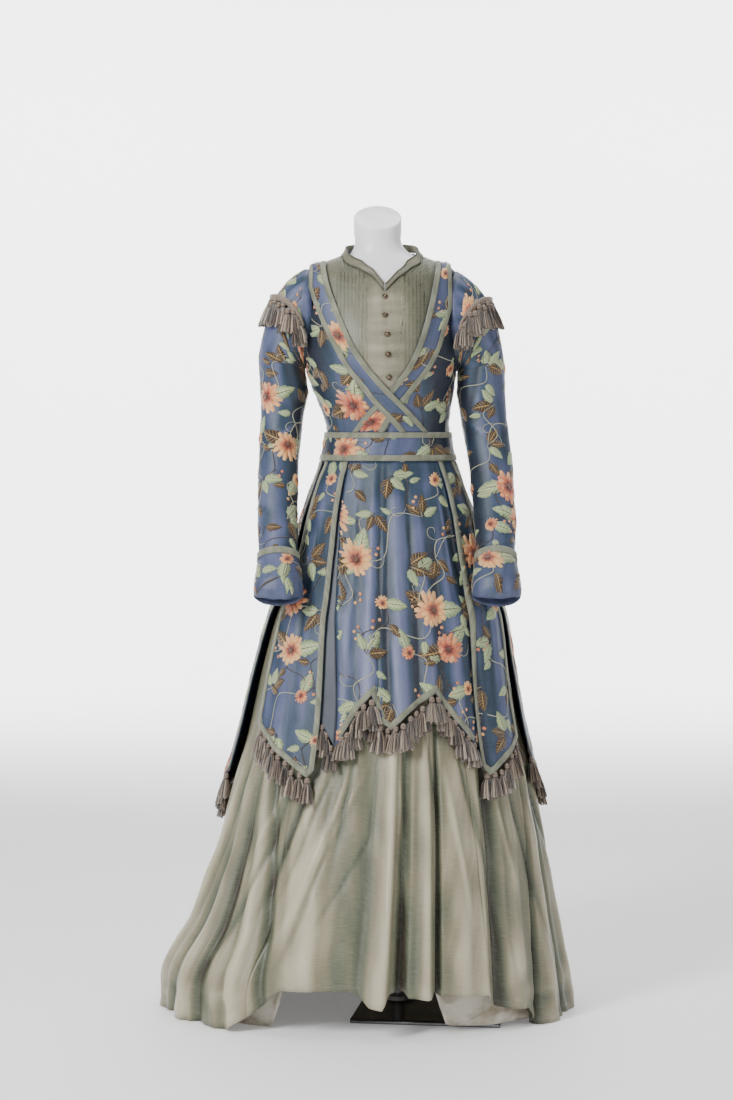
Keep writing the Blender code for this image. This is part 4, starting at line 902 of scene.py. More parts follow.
def creaseShare(x, y, endX, endY, half, fades):
    # how much of a crease's depth is left at (x, y), from its start at zero to its end
    long = math.hypot(endX, endY)
    along = (x * endX + y * endY) / long ** 2
    away = abs(x * endY - y * endX) / long / half
    first, full, less, last = fades
    if not first < along < last or away >= 1:
        return 0.0
    fade = smoothStep(first, full, along) * smoothStep(last, less, along)
    return fade * (0.5 + 0.5 * math.cos(math.pi * away))


def creaseSum(creases, degrees, height, radius):
    total = 0.0
    for crease in creases:
        if not min(crease.h, crease.k) - 0.05 < height < max(crease.h, crease.k) + 0.05:
            continue
        x = math.radians(halfTurn(degrees - crease.a)) * radius
        endX, endY = math.radians(crease.b - crease.a) * radius, crease.k - crease.h
        share = creaseShare(x, height - crease.h, endX, endY, crease.half, (-0.12, 0.3, 0.6, 1.12))
        total += crease.depth * share
    return total


def ripple(point, scale, upright):
    return noise.noise(Vector((point.x * scale, point.y * scale, point.z * upright)))


def skirtShape(degrees, height):
    look = skirtLook
    big = foldSum(underFolds, degrees, height, 0.75)
    turn = degrees % 360
    back = smoothStep(8, 30, turn) * (1 - smoothStep(150, 174, turn))
    if back > 0 and height < 0.95:
        wave = math.cos(math.radians(degrees * 360 / look["backStep"]) + 1.2 * math.sin(degrees / 23))
        big += back * look["backDepth"] * (1 - height / 0.95) ** 1.6 * wave
    point = skirtRing(math.radians(degrees), height)
    small = creaseSum(underCreases, degrees, height, 0.33)
    low = 1 - smoothStep(0.25, 0.95, height)
    small += look["ripple"] * low * ripple(point, 13, 2.4)
    small += look["crumple"] * (0.35 + low) * ripple(point, 34, 13)
    around = halfTurn(degrees)
    flank = 1 - smoothStep(-140, -120, around) * (1 - smoothStep(-62, -40, around))
    small += 0.0050 * flank * (1 - smoothStep(0.02, 0.16, height)) * ripple(point, 17, 34)
    under = smoothStep(0.44, 0.60, height)
    return big * (1 - 0.4 * under), small * (1 - 0.6 * under)


def makeUnderskirt():
    gores = {"underskirt_front": (-127.66, -57.12), "underskirt_side_right": (-57.08, -0.02),
             "underskirt_back_right": (0.02, 89.98), "underskirt_back_left": (90.02, 179.98),
             "underskirt_side_left": (-179.98, -127.70)}
    for name, (first, last) in gores.items():
        angles = even(first, last, round((last - first) / skirtLook["columnStep"]) + 1)
        grid, folds = [], []
        for drop in even(0.0, 1.0, skirtLook["rows"]):
            row = []
            for degrees in angles:
                height = blend(readLine(hemLine, halfTurn(degrees)), skirtLook["top"], drop)
                big, small = skirtShape(degrees, height)
                row.append(skirtRing(math.radians(degrees), height, big + small))
                # painted shade in the hollows of the folds and creases and a painted highlight on their
                # ridges, from their depth
                folds.append(min(max(big / 0.016 + small / 0.006, -1.0), 1.0))
            grid.append(row)
        item = addCloth(name.replace("underskirt", "underskirt_gore"), grid, taffeta,
                        cloth["wall"], folds=folds)
        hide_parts(name)
        declareCloth(grid)


petticoatLook = {
    "top": 0.30, "left": 0.360, "right": 0.325, "back": 0.500, "front": 0.215,
    "inset": 0.021, "waves": 17, "waveDepth": 0.012,
}


def petticoatPoint(degrees, share):
    look = petticoatLook
    angle = math.radians(degrees)
    turn = halfTurn(degrees)
    raised = smoothStep(-128, -118, turn) * (1 - smoothStep(-76, -66, turn))
    onPlate = smoothStep(-127, -122, turn) * (1 - smoothStep(-34, -28, turn))
    low = max(0.115 * raised, 0.0084 * onPlate, skirtLook["floorRoom"])
    height = blend(look["top"], low, share)
    cosine, sine = math.cos(angle), math.sin(angle)
    half = look["right"] if cosine > 0 else look["left"]
    depth = look["back"] if sine > 0 else look["front"]
    squared = 0.72 if sine < 0 else 1.0
    spread = abs(cosine) ** squared * (1 if cosine > 0 else -1)
    away = abs(sine) ** squared * (1 if sine > 0 else -1)
    own = Vector((half * spread, depth * away, 0)).length
    point = skirtRing(angle, height, -look["inset"])
    reach = min(1.0, own / Vector((point.x, point.y, 0)).length)
    pull = blend(1.0, reach, smoothStep(0.0, 0.85, share))
    pull *= 1 - look["waveDepth"] * share * (1 + math.cos(angle * look["waves"]))
    pull += look["waveDepth"] * share * (ripple(point, 15, 9) + 0.6 * ripple(point, 40, 24)) - 0.004
    return Vector((point.x * pull, point.y * pull, height))


def makePetticoat():
    angles = [n * 2.0 for n in range(180)]
    grid = [[petticoatPoint(degrees, share) for degrees in angles] for share in even(1.0, 0.0, 26)]
    item = addCloth("petticoat_ruffle", grid, cotton, cloth["wall"], closed=True)
    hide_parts("petticoat")
    declareCloth(grid, closed=True)


makeUnderskirt()
makePetticoat()
print("underskirt and petticoat made")


# tassels and the gimp that carries them

# rings of a tassel's head: how far down, half width and tone
tasselHead = (
    (0.000, 0.0014, 0.4), (0.002, 0.0040, 0.65), (0.0055, 0.0058, 0.45), (0.0090, 0.0054, 0.6),
    (0.0110, 0.0042, 0.1), (0.0130, 0.0054, 0.4), (0.022, 0.0070, 0.1),
)


class TasselRow:
    def __init__(self, seed):
        self.rng = random.Random(seed)
        self.points, self.faces, self.tones = [], [], []

    def ring(self, center, side, out, wide, deep, sides, tone):
        first = len(self.points)
        for n in range(sides):
            angle = n * math.tau / sides
            self.points.append(center + side * wide * math.cos(angle) + out * deep * math.sin(angle))
            self.tones.append(tone)
        return [first + n for n in range(sides)]

    def tube(self, rings):
        self.faces.append(tuple(reversed(rings[0])))
        for near, far in zip(rings, rings[1:]):
            count = len(near)
            for n in range(count):
                m = (n + 1) % count
                self.faces.append((near[n], near[m], far[m], far[n]))
        self.faces.append(tuple(rings[-1]))

    def tassel(self, top, side, out, hang, length, width):
        # hang is the way down; the head is a wound knot, the skirt a bunch of twisted threads
        rng = self.rng
        down = (hang.normalized() + side * rng.uniform(-0.10, 0.10)).normalized()
        head = []
        for drop, half, tone in tasselHead:
            head.append(self.ring(top + down * drop, side, out, half, half * 0.8, 10, tone))
        self.tube(head)
        count = tasselLook["strands"]
        for n in range(count):
            angle = n * math.tau / count + rng.uniform(-0.1, 0.1)
            inner = 0.86 if n % 2 else 1.0
            wide, deep = math.cos(angle) * inner, math.sin(angle) * 0.62 * inner
            tone = rng.choice((0.15, 0.4, 0.55, 0.7, 0.95))
            long = length * rng.uniform(0.93, 1.03)
            rings = []
            # painted shade: each strand is darker toward the head, where the strands bunch under it
            for t in (0.0, 0.28, 0.62, 1.0):
                splay = blend(0.0058, width / 2, t ** 0.45)
                spot = (top + down * blend(0.0135, long, t) + side * wide * splay + out * deep * splay)
                rings.append(self.ring(spot, side, out, 0.0015 + 0.0007 * t, 0.0016, 3,
                                       tone - 0.25 * (1 - t)))
            self.tube(rings)

    def braid(self, line, outs, height, thick):
        # a gimp strip along a line of points, with a scalloped lower edge
        rings = []
        for n, (point, out) in enumerate(zip(line, outs)):
            up = Vector((0, 0, 1))
            low = -0.001 * (n % 2)
            first = len(self.points)
            for rise, depth in ((height, thick), (height, -thick), (low, -thick), (low, thick)):
                self.points.append(point + up * rise + out * depth)
                self.tones.append(0.45 + 0.25 * (n % 2))
            rings.append([first + k for k in range(4)])
        self.tube(rings)

    def finish(self, name):
        item = addMesh(name, self.points, self.faces, [tasselThread], values={"thread": self.tones})
        work = bmesh.new()
        work.from_mesh(item.data)
        bmesh.ops.recalc_face_normals(work, faces=work.faces)
        work.to_mesh(item.data)
        work.free()
        return item


# overskirt: seven panels with bound edges, a zigzag hem and tassels

Panel = namedtuple("Panel", "name leftTop leftLow rightTop rightLow lift bound hem")
sideLift = 0.0036
panels = (
    Panel("front", -125.5, -110.5, -43.4, -46.0, 0.0, "hem", (
        (-110.5, 0.5215), (-101.5, 0.593), (-96.3, 0.617), (-93.0, 0.566), (-89.0, 0.553),
        (-81.8, 0.584), (-69.7, 0.620), (-62.0, 0.571), (-54.0, 0.528), (-46.0, 0.510))),
    Panel("pleat_left", -131.0, -124.5, -125.9, -111.0, -sideLift, "none", (
        (-124.5, 0.600), (-120.5, 0.580), (-111.0, 0.5215))),
    Panel("side_left", -156.0, -151.0, -126.2, -117.5, sideLift, "all", (
        (-151.0, 0.552), (-136.0, 0.508), (-120.0, 0.464), (-117.5, 0.478))),
    Panel("side_right", -43.0, -50.5, -18.0, -24.5, sideLift, "all", (
        (-50.5, 0.482), (-47.5, 0.464), (-36.0, 0.495), (-24.5, 0.526))),
    Panel("back_right", -16.0, -10.0, 44.8, 44.8, 0.0, "all", (
        (-10.0, 0.500), (-4.0, 0.470), (8.0, 0.425), (18.0, 0.470), (28.0, 0.420), (44.8, 0.480))),
    Panel("back_center", 45.2, 45.2, 134.8, 134.8, 0.0, "all", (
        (45.2, 0.480), (60.0, 0.410), (76.0, 0.480), (90.0, 0.395), (104.0, 0.480),
        (120.0, 0.410), (134.8, 0.480))),
    Panel("back_left", 135.2, 135.2, 197.0, 186.0, 0.0, "all", (
        (135.2, 0.480), (152.0, 0.410), (162.0, 0.455), (172.0, 0.400), (186.0, 0.460))),
)
overFolds = (
    Fold(-94.6, -96, 1.1, 1.8, -0.0055, 1.05), Fold(-49, -46, 4.5, 3, -0.0090, 1.05),
    Fold(-97, -101, 6, 4, 0.0075, 1.05), Fold(-90.5, -92, 2.5, 3, -0.0060, 1.05),
    Fold(-84, -85, 5, 5, 0.0085, 1.05), Fold(-77.5, -77, 2.5, 3, -0.0060, 1.05),
    Fold(-71, -71, 5, 4, 0.0075, 1.05), Fold(-66, -65, 2, 3, -0.0050, 1.05),
    Fold(-107, -113, 5, 4, 0.0040, 1.05), Fold(-59, -57, 5, 6, 0.0050, 1.05),
    Fold(-136, -143, 6, 6, 0.0040, 1.05), Fold(-34, -29, 6, 6, 0.0040, 1.05),
    Fold(4, 10, 9, 6, 0.0055, 1.05), Fold(17, 20, 4, 5, -0.0050, 1.05),
    Fold(30, 32, 8, 9, 0.0055, 1.05), Fold(62, 64, 9, 7, 0.0060, 1.05),
    Fold(76, 77, 4, 4, -0.0060, 1.05), Fold(90, 90, 9, 9, 0.0065, 1.05),
    Fold(104, 103, 4, 4, -0.0060, 1.05), Fold(118, 116, 7, 9, 0.0060, 1.05),
    Fold(152, 150, 9, 6, 0.0055, 1.05), Fold(166, 163, 4, 5, -0.0050, 1.05),
    Fold(180, 174, 7, 9, 0.0055, 1.05),
)
overCreases = (
    Crease(-112, 0.98, -104, 0.80, 0.009, -0.0020), Crease(-96, 0.90, -92, 0.66, 0.009, -0.0022),
    Crease(-78, 0.96, -76, 0.70, 0.008, -0.0020), Crease(-62, 0.92, -66, 0.68, 0.009, -0.0022),
    Crease(-52, 1.00, -54, 0.76, 0.008, 0.0020), Crease(-88, 0.72, -86, 0.58, 0.008, 0.0020),
    Crease(-140, 0.92, -132, 0.66, 0.009, -0.0020), Crease(-32, 0.90, -38, 0.62, 0.009, -0.0020),
    Crease(14, 0.94, 18, 0.62, 0.011, -0.0024), Crease(76, 0.90, 74, 0.58, 0.012, -0.0024),
    Crease(104, 0.94, 108, 0.60, 0.012, -0.0024), Crease(164, 0.92, 160, 0.60, 0.011, -0.0024),
)
overLook = {"columnStep": 0.0056, "rows": 92, "ripple": 0.0012, "crumple": 0.0006}


def panelEdges(panel, height):
    t = smoothStep(waistLow, 0.55, height)
    return blend(panel.leftTop, panel.leftLow, t), blend(panel.rightTop, panel.rightLow, t)


def panelLift(panel, height):
    part = smoothStep(waistLow, waistLow - 0.04, height) if panel.lift > 0 else 1.0
    return 0.016 + panel.lift * part


def panelShape(panel, share, height):
    left, right = panelEdges(panel, height)
    degrees = blend(left, right, share)
    big = foldSum(overFolds, degrees, height, 0.6, 0.5)
    point = skirtRing(math.radians(degrees), height)
    small = creaseSum(overCreases, degrees, height, 0.22)
    small += overLook["ripple"] * ripple(point, 21, 5) + overLook["crumple"] * ripple(point, 55, 30)
    small *= smoothStep(waistLow + 0.001, waistLow - 0.05, height)
    return math.radians(degrees), big, small


def panelPoint(panel, height, angle, folds):
    return skirtRing(angle, height, panelLift(panel, height) + folds)


def panelSpot(panel, share, height):
    angle, big, small = panelShape(panel, share, height)
    return panelPoint(panel, height, angle, big + small)


def hemAt(panel, share):
    return readLine(panel.hem, blend(panel.leftLow, panel.rightLow, share))


panelTop = waistLow - 0.0005


def panelLow(panel):
    return min(height for turn, height in panel.hem) - 0.002


def panelCarrier(panel):
    low, top = panelLow(panel), panelTop

    def inside(s, t):
        return blend(top, low, t) > hemAt(panel, s) + 0.0004

    return Carrier(lambda s, t: panelSpot(panel, s, blend(top, low, t)), 84, 60, inside)


def panelOutline(panel, carrier):
    # side, hem and side of a panel in its carrier's flat metres, a hair inside the cut edge
    low, top = panelLow(panel), panelTop
    span = panel.rightLow - panel.leftLow

    def flat(share, height):
        t = (top - height) / (top - low) * (carrier.rows - 1)
        r = min(int(t), carrier.rows - 2)
        wide = blend(carrier.wide[r], carrier.wide[r + 1], t - r)
        down = blend(carrier.down[r], carrier.down[r + 1], t - r)
        return ((share - 0.5) * wide * 0.997, down)

    hem = [flat((angle - panel.leftLow) / span, height) for angle, height in panel.hem]
    sides = [[flat(share, height) for height in even(top - 0.0002, end, 14)[:-1]]
             for share, end in ((0.0, panel.hem[0][1]), (1.0, panel.hem[-1][1]))]
    return sides[0], hem, sides[1]


def hemFringe(panel, name, seed):
    spans = {"front": (-109.0, -52.0), "pleat_left": (-121.0, -112.5)}
    first, last = spans.get(panel.name, (panel.leftLow + 1.2, panel.rightLow - 1.2))
    span = panel.rightLow - panel.leftLow
    fine = []
    for degrees in even(first, last, 160):
        share = (degrees - panel.leftLow) / span
        height = hemAt(panel, share)
        angle, big, small = panelShape(panel, share, height)
        fine.append((angle, height, panelPoint(panel, height, angle, big + small)))
    row = TasselRow(seed)
    outs, line = [], []
    for n, (angle, height, point) in enumerate(fine):
        side = (fine[min(n + 1, 159)][2] - fine[max(n - 1, 0)][2])
        out = Vector((side.x, side.y, 0)).normalized().cross(Vector((0, 0, 1)))
        outs.append(out)
        line.append(point - out * 0.0028)
    row.braid(line, outs, 0.007, 0.0007)
    gone, place = 0.0, tasselLook["step"] / 2
    for n in range(1, 160):
        gone += (line[n] - line[n - 1]).length
        if gone > place:
            place += tasselLook["step"] * row.rng.uniform(0.92, 1.08)
            angle, height, point = fine[n]
            drop = tasselLook["length"] * row.rng.uniform(0.94, 1.06)
            slope = skirtRing(angle, height - drop) - skirtRing(angle, height)
            side = outs[n].cross(Vector((0, 0, -1)))
            hang = outs[n] * slope.dot(outs[n]) * 0.8 + Vector((0, 0, -drop))
            tier = row.rng.choice((0.0, 0.0, 0.007))
            row.tassel(line[n] + outs[n] * (0.001 + 0.3 * tier) + Vector((0, 0, -tier)), side,
                       outs[n], hang, drop,
                       tasselLook["width"] * row.rng.uniform(0.92, 1.08))
    return row.finish(name + "_tassels")


def makeOverskirt():
    for index, panel in enumerate(panels):
        name = "overskirt_" + panel.name
        columns = max(9, round(math.radians(panel.rightLow - panel.leftLow) * 0.27
                               / overLook["columnStep"]))
        shares = sorted({round(share, 5) for share in even(0.0, 1.0, columns)} | {
            round((angle - panel.leftLow) / (panel.rightLow - panel.leftLow), 5)
            for angle, height in panel.hem})
        grid, folds = [], []
        for drop in even(1.0, 0.0, overLook["rows"]):
            row = []
            for share in shares:
                height = blend(panelTop, hemAt(panel, share), drop)
                angle, big, small = panelShape(panel, share, height)
                row.append(panelPoint(panel, height, angle, big + small))
                # painted shade in the hollows of the folds and creases and a painted highlight on their
                # ridges, from their depth
                folds.append(min(max((big - 0.002) / 0.006 + small / 0.003, -1.0), 1.0))
            grid.append(row)
        plain = panel.name == "pleat_left"
        item = addCloth(name + "_panel", grid, wrongSide if plain else silk, cloth["wall"],
                        folds=folds, inside=wrongSide)
        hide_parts(name)
        carrier = panelCarrier(panel)
        sewn = [] if plain else [embroider(name, carrier, 11 + index)]
        carrier.inside = None
        left, hem, right = panelOutline(panel, carrier)
        if panel.bound != "none":
            outline = left + hem + right[::-1] if panel.bound == "all" else hem[:-1]
            trim = ribbonGrid(carrier, outline, cloth["bindingWidth"],
                              cloth["ribbonLift"] + cloth["ribbonWall"])
            binding = addCloth(name + "_ribbon", trim, ribbon, cloth["ribbonWall"])
            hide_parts(name + "_binding")
            declareCloth(trim)
        fringe = hemFringe(panel, name, 31 + index)
        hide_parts(name + "_fringe")
        declareCloth(grid)


makeOverskirt()
print("overskirt made")


# bodice: side fronts, back, yoke, collar and the two crossed wraps

Arm = namedtuple("Arm", "name side pivotX pivotZ start rings")
CapRing = namedtuple("CapRing", "turn reach halfDepth")
capRings = (
    CapRing(0, 0.193, 0.0560), CapRing(9, 0.176, 0.0565), CapRing(19, 0.156, 0.0565),
    CapRing(30, 0.136, 0.0560), CapRing(45, 0.112, 0.0545), CapRing(62, 0.098, 0.0525),
    CapRing(80, 0.091, 0.0510),
)
ArmRing = namedtuple("ArmRing", "height x y radius depth tilt")
leftArm = (
    ArmRing(0.808, -0.2065, -0.151, 0.0360, 0.0360, 29),
    ArmRing(0.850, -0.2070, -0.125, 0.0365, 0.0365, 29),
    ArmRing(0.900, -0.2090, -0.096, 0.0375, 0.0380, 28),
    ArmRing(0.950, -0.2105, -0.068, 0.0385, 0.0395, 27),
    ArmRing(1.005, -0.2105, -0.041, 0.0385, 0.0410, 24),
    ArmRing(1.055, -0.2095, -0.021, 0.0392, 0.0430, 20),
    ArmRing(1.098, -0.2070, -0.008, 0.0408, 0.0450, 12),
    ArmRing(1.140, -0.2035, -0.002, 0.0425, 0.0460, 4),
    ArmRing(1.180, -0.1985, 0.000, 0.0470, 0.0490, 0),
)
rightArm = (
    ArmRing(0.808, 0.2010, -0.158, 0.0360, 0.0360, 31),
    ArmRing(0.850, 0.2015, -0.131, 0.0365, 0.0370, 31),
    ArmRing(0.900, 0.2020, -0.100, 0.0380, 0.0385, 30),
    ArmRing(0.950, 0.2015, -0.070, 0.0400, 0.0405, 28),
    ArmRing(1.005, 0.1990, -0.041, 0.0412, 0.0420, 24),
    ArmRing(1.055, 0.1945, -0.021, 0.0425, 0.0440, 20),
    ArmRing(1.098, 0.1890, -0.008, 0.0440, 0.0460, 12),
    ArmRing(1.140, 0.1830, -0.002, 0.0450, 0.0470, 4),
    ArmRing(1.180, 0.1790, 0.000, 0.0470, 0.0490, 0),
)
arms = (
    Arm("left", -1, -0.160, 1.222, 0.009, leftArm),
    Arm("right", 1, 0.134, 1.217, 0.014, rightArm),
)

# x of the wrap bands' edges on the front, height by height
WrapEdge = namedtuple("WrapEdge", "height leftOuter leftInner rightInner rightOuter")
wrapEdges = (
    WrapEdge(1.100, 0.0215, 0.0737, -0.0665, -0.0084),
    WrapEdge(1.130, -0.0045, 0.0492, -0.0465, 0.0085),
    WrapEdge(1.160, -0.0308, 0.0215, -0.0195, 0.0315),
    WrapEdge(1.190, -0.0550, -0.0070, 0.0085, 0.0545),
    WrapEdge(1.220, -0.0785, -0.0335, 0.0320, 0.0765),
    WrapEdge(1.260, -0.1014, -0.0617, 0.0520, 0.0964),
    WrapEdge(1.300, -0.1208, -0.0808, 0.0655, 0.1074),
    WrapEdge(1.340, -0.1367, -0.0972, 0.0755, 0.1185),
    WrapEdge(1.380, -0.1488, -0.1107, 0.0836, 0.1256),
    WrapEdge(1.410, -0.1564, -0.1178, 0.0890, 0.1270),
)
neckline = (
    (-270.0, 1.4510), (-215.0, 1.4480), (-180.0, 1.4440), (-140.0, 1.4350), (-107.5, 1.4140),
    (-96.0, 1.3985), (-87.0, 1.3680), (-78.0, 1.3935), (-66.0, 1.4140), (-40.0, 1.4335),
    (0.0, 1.4440), (35.0, 1.4480), (90.0, 1.4510),
)
frontTop = 1.405
yokeLow = 1.170
hiddenSeam = 0.007
bodiceLow = 1.046
armholeLook = {"half": 0.0965, "room": 0.0012, "depth": 0.0572, "seam": 0.012}
bodiceLook = {
    "rows": 72, "columns": 30, "ripple": 0.0011, "crumple": 0.0005,
    "tuckStep": 0.0072, "tuckDepth": 0.0011, "crossLift": 0.0034, "wrapTop": 1.4235,
}
bodiceCreases = (
    Crease(-160, 1.20, -128, 1.12, 0.007, -0.0014), Crease(-164, 1.26, -140, 1.16, 0.008, -0.0014),
    Crease(-20, 1.20, -50, 1.12, 0.007, -0.0014), Crease(-16, 1.26, -40, 1.16, 0.008, -0.0014),
    Crease(-172, 1.14, -150, 1.10, 0.006, 0.0010), Crease(-8, 1.14, -30, 1.10, 0.006, 0.0010),
    Crease(40, 1.30, 70, 1.18, 0.010, -0.0016), Crease(140, 1.30, 110, 1.18, 0.010, -0.0016),
    Crease(20, 1.16, 50, 1.11, 0.008, -0.0012), Crease(160, 1.16, 130, 1.11, 0.008, -0.0012),
)


@lru_cache(maxsize=None)
def wrapX(height, edge):
    x = getattr(readRows(wrapEdges, height), edge)
    return min(max(x, -0.015 - 0.1325), -0.015 + 0.1325)


@lru_cache(maxsize=None)
def seamAngle(height, side):
    middle = (frontAngle(wrapX(height, side + "Outer"), height)
              + frontAngle(wrapX(height, side + "Inner"), height)) / 2
    return min(middle, -math.pi / 2) if side == "left" else max(middle, -math.pi / 2)


def bodiceSmall(angle, height):
    point = torsoBase(angle, height)
    small = bodiceLook["ripple"] * ripple(point, 24, 9) + bodiceLook["crumple"] * ripple(point, 60, 40)
    small += creaseSum(bodiceCreases, math.degrees(angle), height, 0.13)
    return small - 0.0004


def bodiceSpot(angle, height):
    return torsoPoint(angle, height, bodiceSmall(angle, height))


def armholeSlide(grid):
    # points inside an armhole move out to its rim; the cloth wholly inside it goes
    look, flags = armholeLook, []
    for row in grid:
        for c, point in enumerate(row):
            inside = False
            for arm in arms:
                halfZ, middle = look["half"] + look["room"], arm.pivotZ + look["half"]
                edge = arm.pivotX - arm.side * (arm.start + look["seam"])
                if arm.side * (point.x - edge) > 0:
                    y, z = point.y / look["depth"], (point.z - middle) / halfZ
                    size = math.hypot(y, z)
                    if 0 < size < 1:
                        inside = True
                        height = middle + z / size * halfZ
                        away = y / size * look["depth"]
                        ring = readRows(torsoRings, round(height, 5))
                        depth = ring.back if away > 0 else ring.front
                        cosine = math.sqrt(max(1 - (away / depth) ** 2, 0.0))
                        row[c] = Vector((ring.shift + arm.side * ring.halfWidth * cosine, away, height))
            flags.append(inside)
    return flags


def clearOfArmhole(point):
    for arm in arms:
        y, z = point.y / 0.0575, (point.z - arm.pivotZ - 0.0965) / 0.0985
        if arm.side * (point.x - arm.pivotX + arm.side * 0.03) > 0 and y * y + z * z < 1:
            return False
    return True


def sideShade(grid):
    # painted shade: the silk is darkened to teal toward the side seams, where the body turns away from
    # the light
    return [-1.3 * smoothStep(0.062, 0.128, abs(point.x + 0.018)) for row in grid for point in row]


def addCutCloth(name, node, grid):
    # a cloth without the cells that lie inside an armhole; the area worked out from its grid still counts
    # them; a cloth without the cells that lie inside an armhole; its declared area still has them
    flags = armholeSlide(grid)
    item = addCloth(name, grid, silk, cloth["wall"], folds=sideShade(grid),
                    keep=lambda face: not all(flags[n] for n in face))
    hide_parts(node)
    return item


def makeBodice():
    look = bodiceLook
    for index, side in enumerate(("left", "right")):
        def span(height, side=side):
            seam = seamAngle(height, side)
            if height > frontTop:
                seam = -math.acos(0.1318 / readRows(torsoRings, height).halfWidth)
                seam = seam if side == "right" else -math.pi - seam
            if side == "left":
                return -math.pi + 0.0015, seam - hiddenSeam
            return seam + hiddenSeam, -0.0015

        grid = []
        for height in even(bodiceLow, frontTop, look["rows"]) + [1.4095, 1.4135, 1.4175]:
            grid.append([bodiceSpot(angle, height) for angle in even(*span(height), look["columns"])])
        item = addCutCloth("bodice_side_" + side, "bodice_side_front_" + side, grid)

        def spot(s, t):
            height = blend(frontTop, 1.10, t)
            return bodiceSpot(blend(*span(height), s), height)

        carrier = Carrier(spot, 60, 30)
        carrier.inside = lambda s, t: clearOfArmhole(spot(s, t))
        flowers = embroider("bodice_side_" + side, carrier, 71 + index)
        declareCloth(grid)

    def backSpot(angle, t):
        if t < 0.78:
            height = blend(bodiceLow, 1.36, t / 0.78)
        else:
            top = readLine(neckline, math.degrees(angle))
            height = blend(1.36, top, (t - 0.78) / 0.22)
        return bodiceSpot(angle, height)

    angles = even(math.radians(0.2), math.radians(179.8), 90)
    grid = [[backSpot(angle, t) for angle in angles] for t in even(0.0, 1.0, 84)]
    back = addCutCloth("bodice_back_cloth", "bodice_back", grid)

    def spot(s, t):
        return backSpot(blend(angles[0], angles[-1], s), blend(1.0, 0.14, t))

    carrier = Carrier(spot, 70, 60)
    carrier.inside = lambda s, t: clearOfArmhole(spot(s, t))
    flowers = embroider("bodice_back", carrier, 75)
    declareCloth(grid)


def yokeTop(share):
    ridge = 0.15
    if min(share, 1 - share) < ridge:
        side, end = ("left", -172) if share < ridge else ("right", -8)
        t = min(share, 1 - share) / ridge
        corner = min(t * 2, 1.0)
        height = blend(frontTop, 1.426, corner)
        if t >= 0.5:
            height = blend(1.426, readLine(neckline, end) - 0.0004, t * 2 - 1)
        return blend(seamAngle(frontTop, side), math.radians(end), corner), height
    t = (share - ridge) / (1 - 2 * ridge)
    if t < 0.5:
        degrees = blend(-172, -87, 1 - (1 - 2 * t) ** 1.6)
    else:
        degrees = blend(-8, -87, 1 - (2 * t - 1) ** 1.6)
    return math.radians(degrees), readLine(neckline, degrees) - 0.0004


def yokeSpot(share, height):
    bend = ((height - yokeLow) / (frontTop - yokeLow)) ** 2.2
    left = seamAngle(height, "left") + hiddenSeam
    right = seamAngle(height, "right") - hiddenSeam
    topAngle, topHeight = yokeTop(share)
    raised = height + bend * (topHeight - frontTop)
    turn = bend
    if topHeight > frontTop + 0.001:
        turn = min(max((raised - frontTop) / (topHeight - frontTop), 0.0), 1.0)
    ends = seamAngle(frontTop, "left"), seamAngle(frontTop, "right")
    angle = blend(left, right, share) + turn * (topAngle - blend(*ends, share))
    if raised < 1.418:
        limit = math.acos(min(0.131 / readRows(torsoRings, round(raised, 5)).halfWidth, 1.0))
        angle = min(max(angle, limit - math.pi), -limit)
    base = torsoBase(angle, raised)
    # upright pintucks at both sides, level drag lines between them
    away = abs(base.x + 0.004)
    side = smoothStep(0.027, 0.040, away) * (1 - smoothStep(0.080, 0.092, abs(base.x + 0.012)))
    tuck = ((base.x + 0.5) / bodiceLook["tuckStep"]) % 1.0
    middle = 1 - smoothStep(0.018, 0.05, away)
    drag = noise.noise(Vector((base.x * 14, 3.1, raised * 75)))
    lift = side * bodiceLook["tuckDepth"] * (1 - tuck) ** 2 + 0.0012 * middle * drag
    lift += 0.0009 * ripple(base, 24, 16)
    # painted light and shade: glow is a painted highlight on the lower middle, the drag noise paints
    # light and shade along the drag lines, each tuck's step gets painted shade and the rest of the yoke
    # is darkened
    glow = smoothStep(0.085, 0.010, away) * smoothStep(1.42, 1.34, raised)
    shade = 0.35 * middle * drag + 0.8 * glow - 0.30 - 0.8 * side * smoothStep(0.62, 1.0, tuck)
    return torsoPoint(angle, raised, lift), shade


def makeYoke():
    shares, grid, folds = even(0.0, 1.0, 190), [], []
    for height in even(yokeLow, frontTop, 40):
        spots = [yokeSpot(share, height) for share in shares]
        grid.append([point for point, shade in spots])
        folds += [shade for point, shade in spots]
    item = addCloth("yoke_taffeta", grid, yokeTaffeta, cloth["wall"], folds=folds)
    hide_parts("yoke")
    declareCloth(grid)


def addRope(name, line, radius, material, sides=8):
    rows = []
    for n, point in enumerate(line):
        ahead, behind = line[min(n + 1, len(line) - 1)], line[max(n - 1, 0)]
        way = (ahead - behind).normalized()
        side = way.cross(Vector((0, 0, 1))).normalized()
        up = side.cross(way)
        rows.append([point + side * radius * math.cos(k * math.tau / sides)
                     + up * radius * math.sin(k * math.tau / sides) for k in range(sides)])
    points = [point for row in rows for point in row]
    faces = gridFaces(len(rows), sides, True)
    faces += [tuple(reversed(range(sides))), tuple(len(points) - sides + k for k in range(sides))]
    flat = [[(0.0, 0.0)] * len(face) for face in faces]
    return addMesh(name, points, faces, [material], {"flat": [c for f in flat for c in f]},
                   values={"fold": [0.0] * len(points)})


collarLook = {
    "first": -446.5, "last": -87.6,  # from end to end round the neck, in degrees
    "rise": 0.0135, "flatWidth": 0.0112, "lean": 0.11, "middle": -0.018,
    "piping": 0.0011, "seamPiping": 0.0007,
}


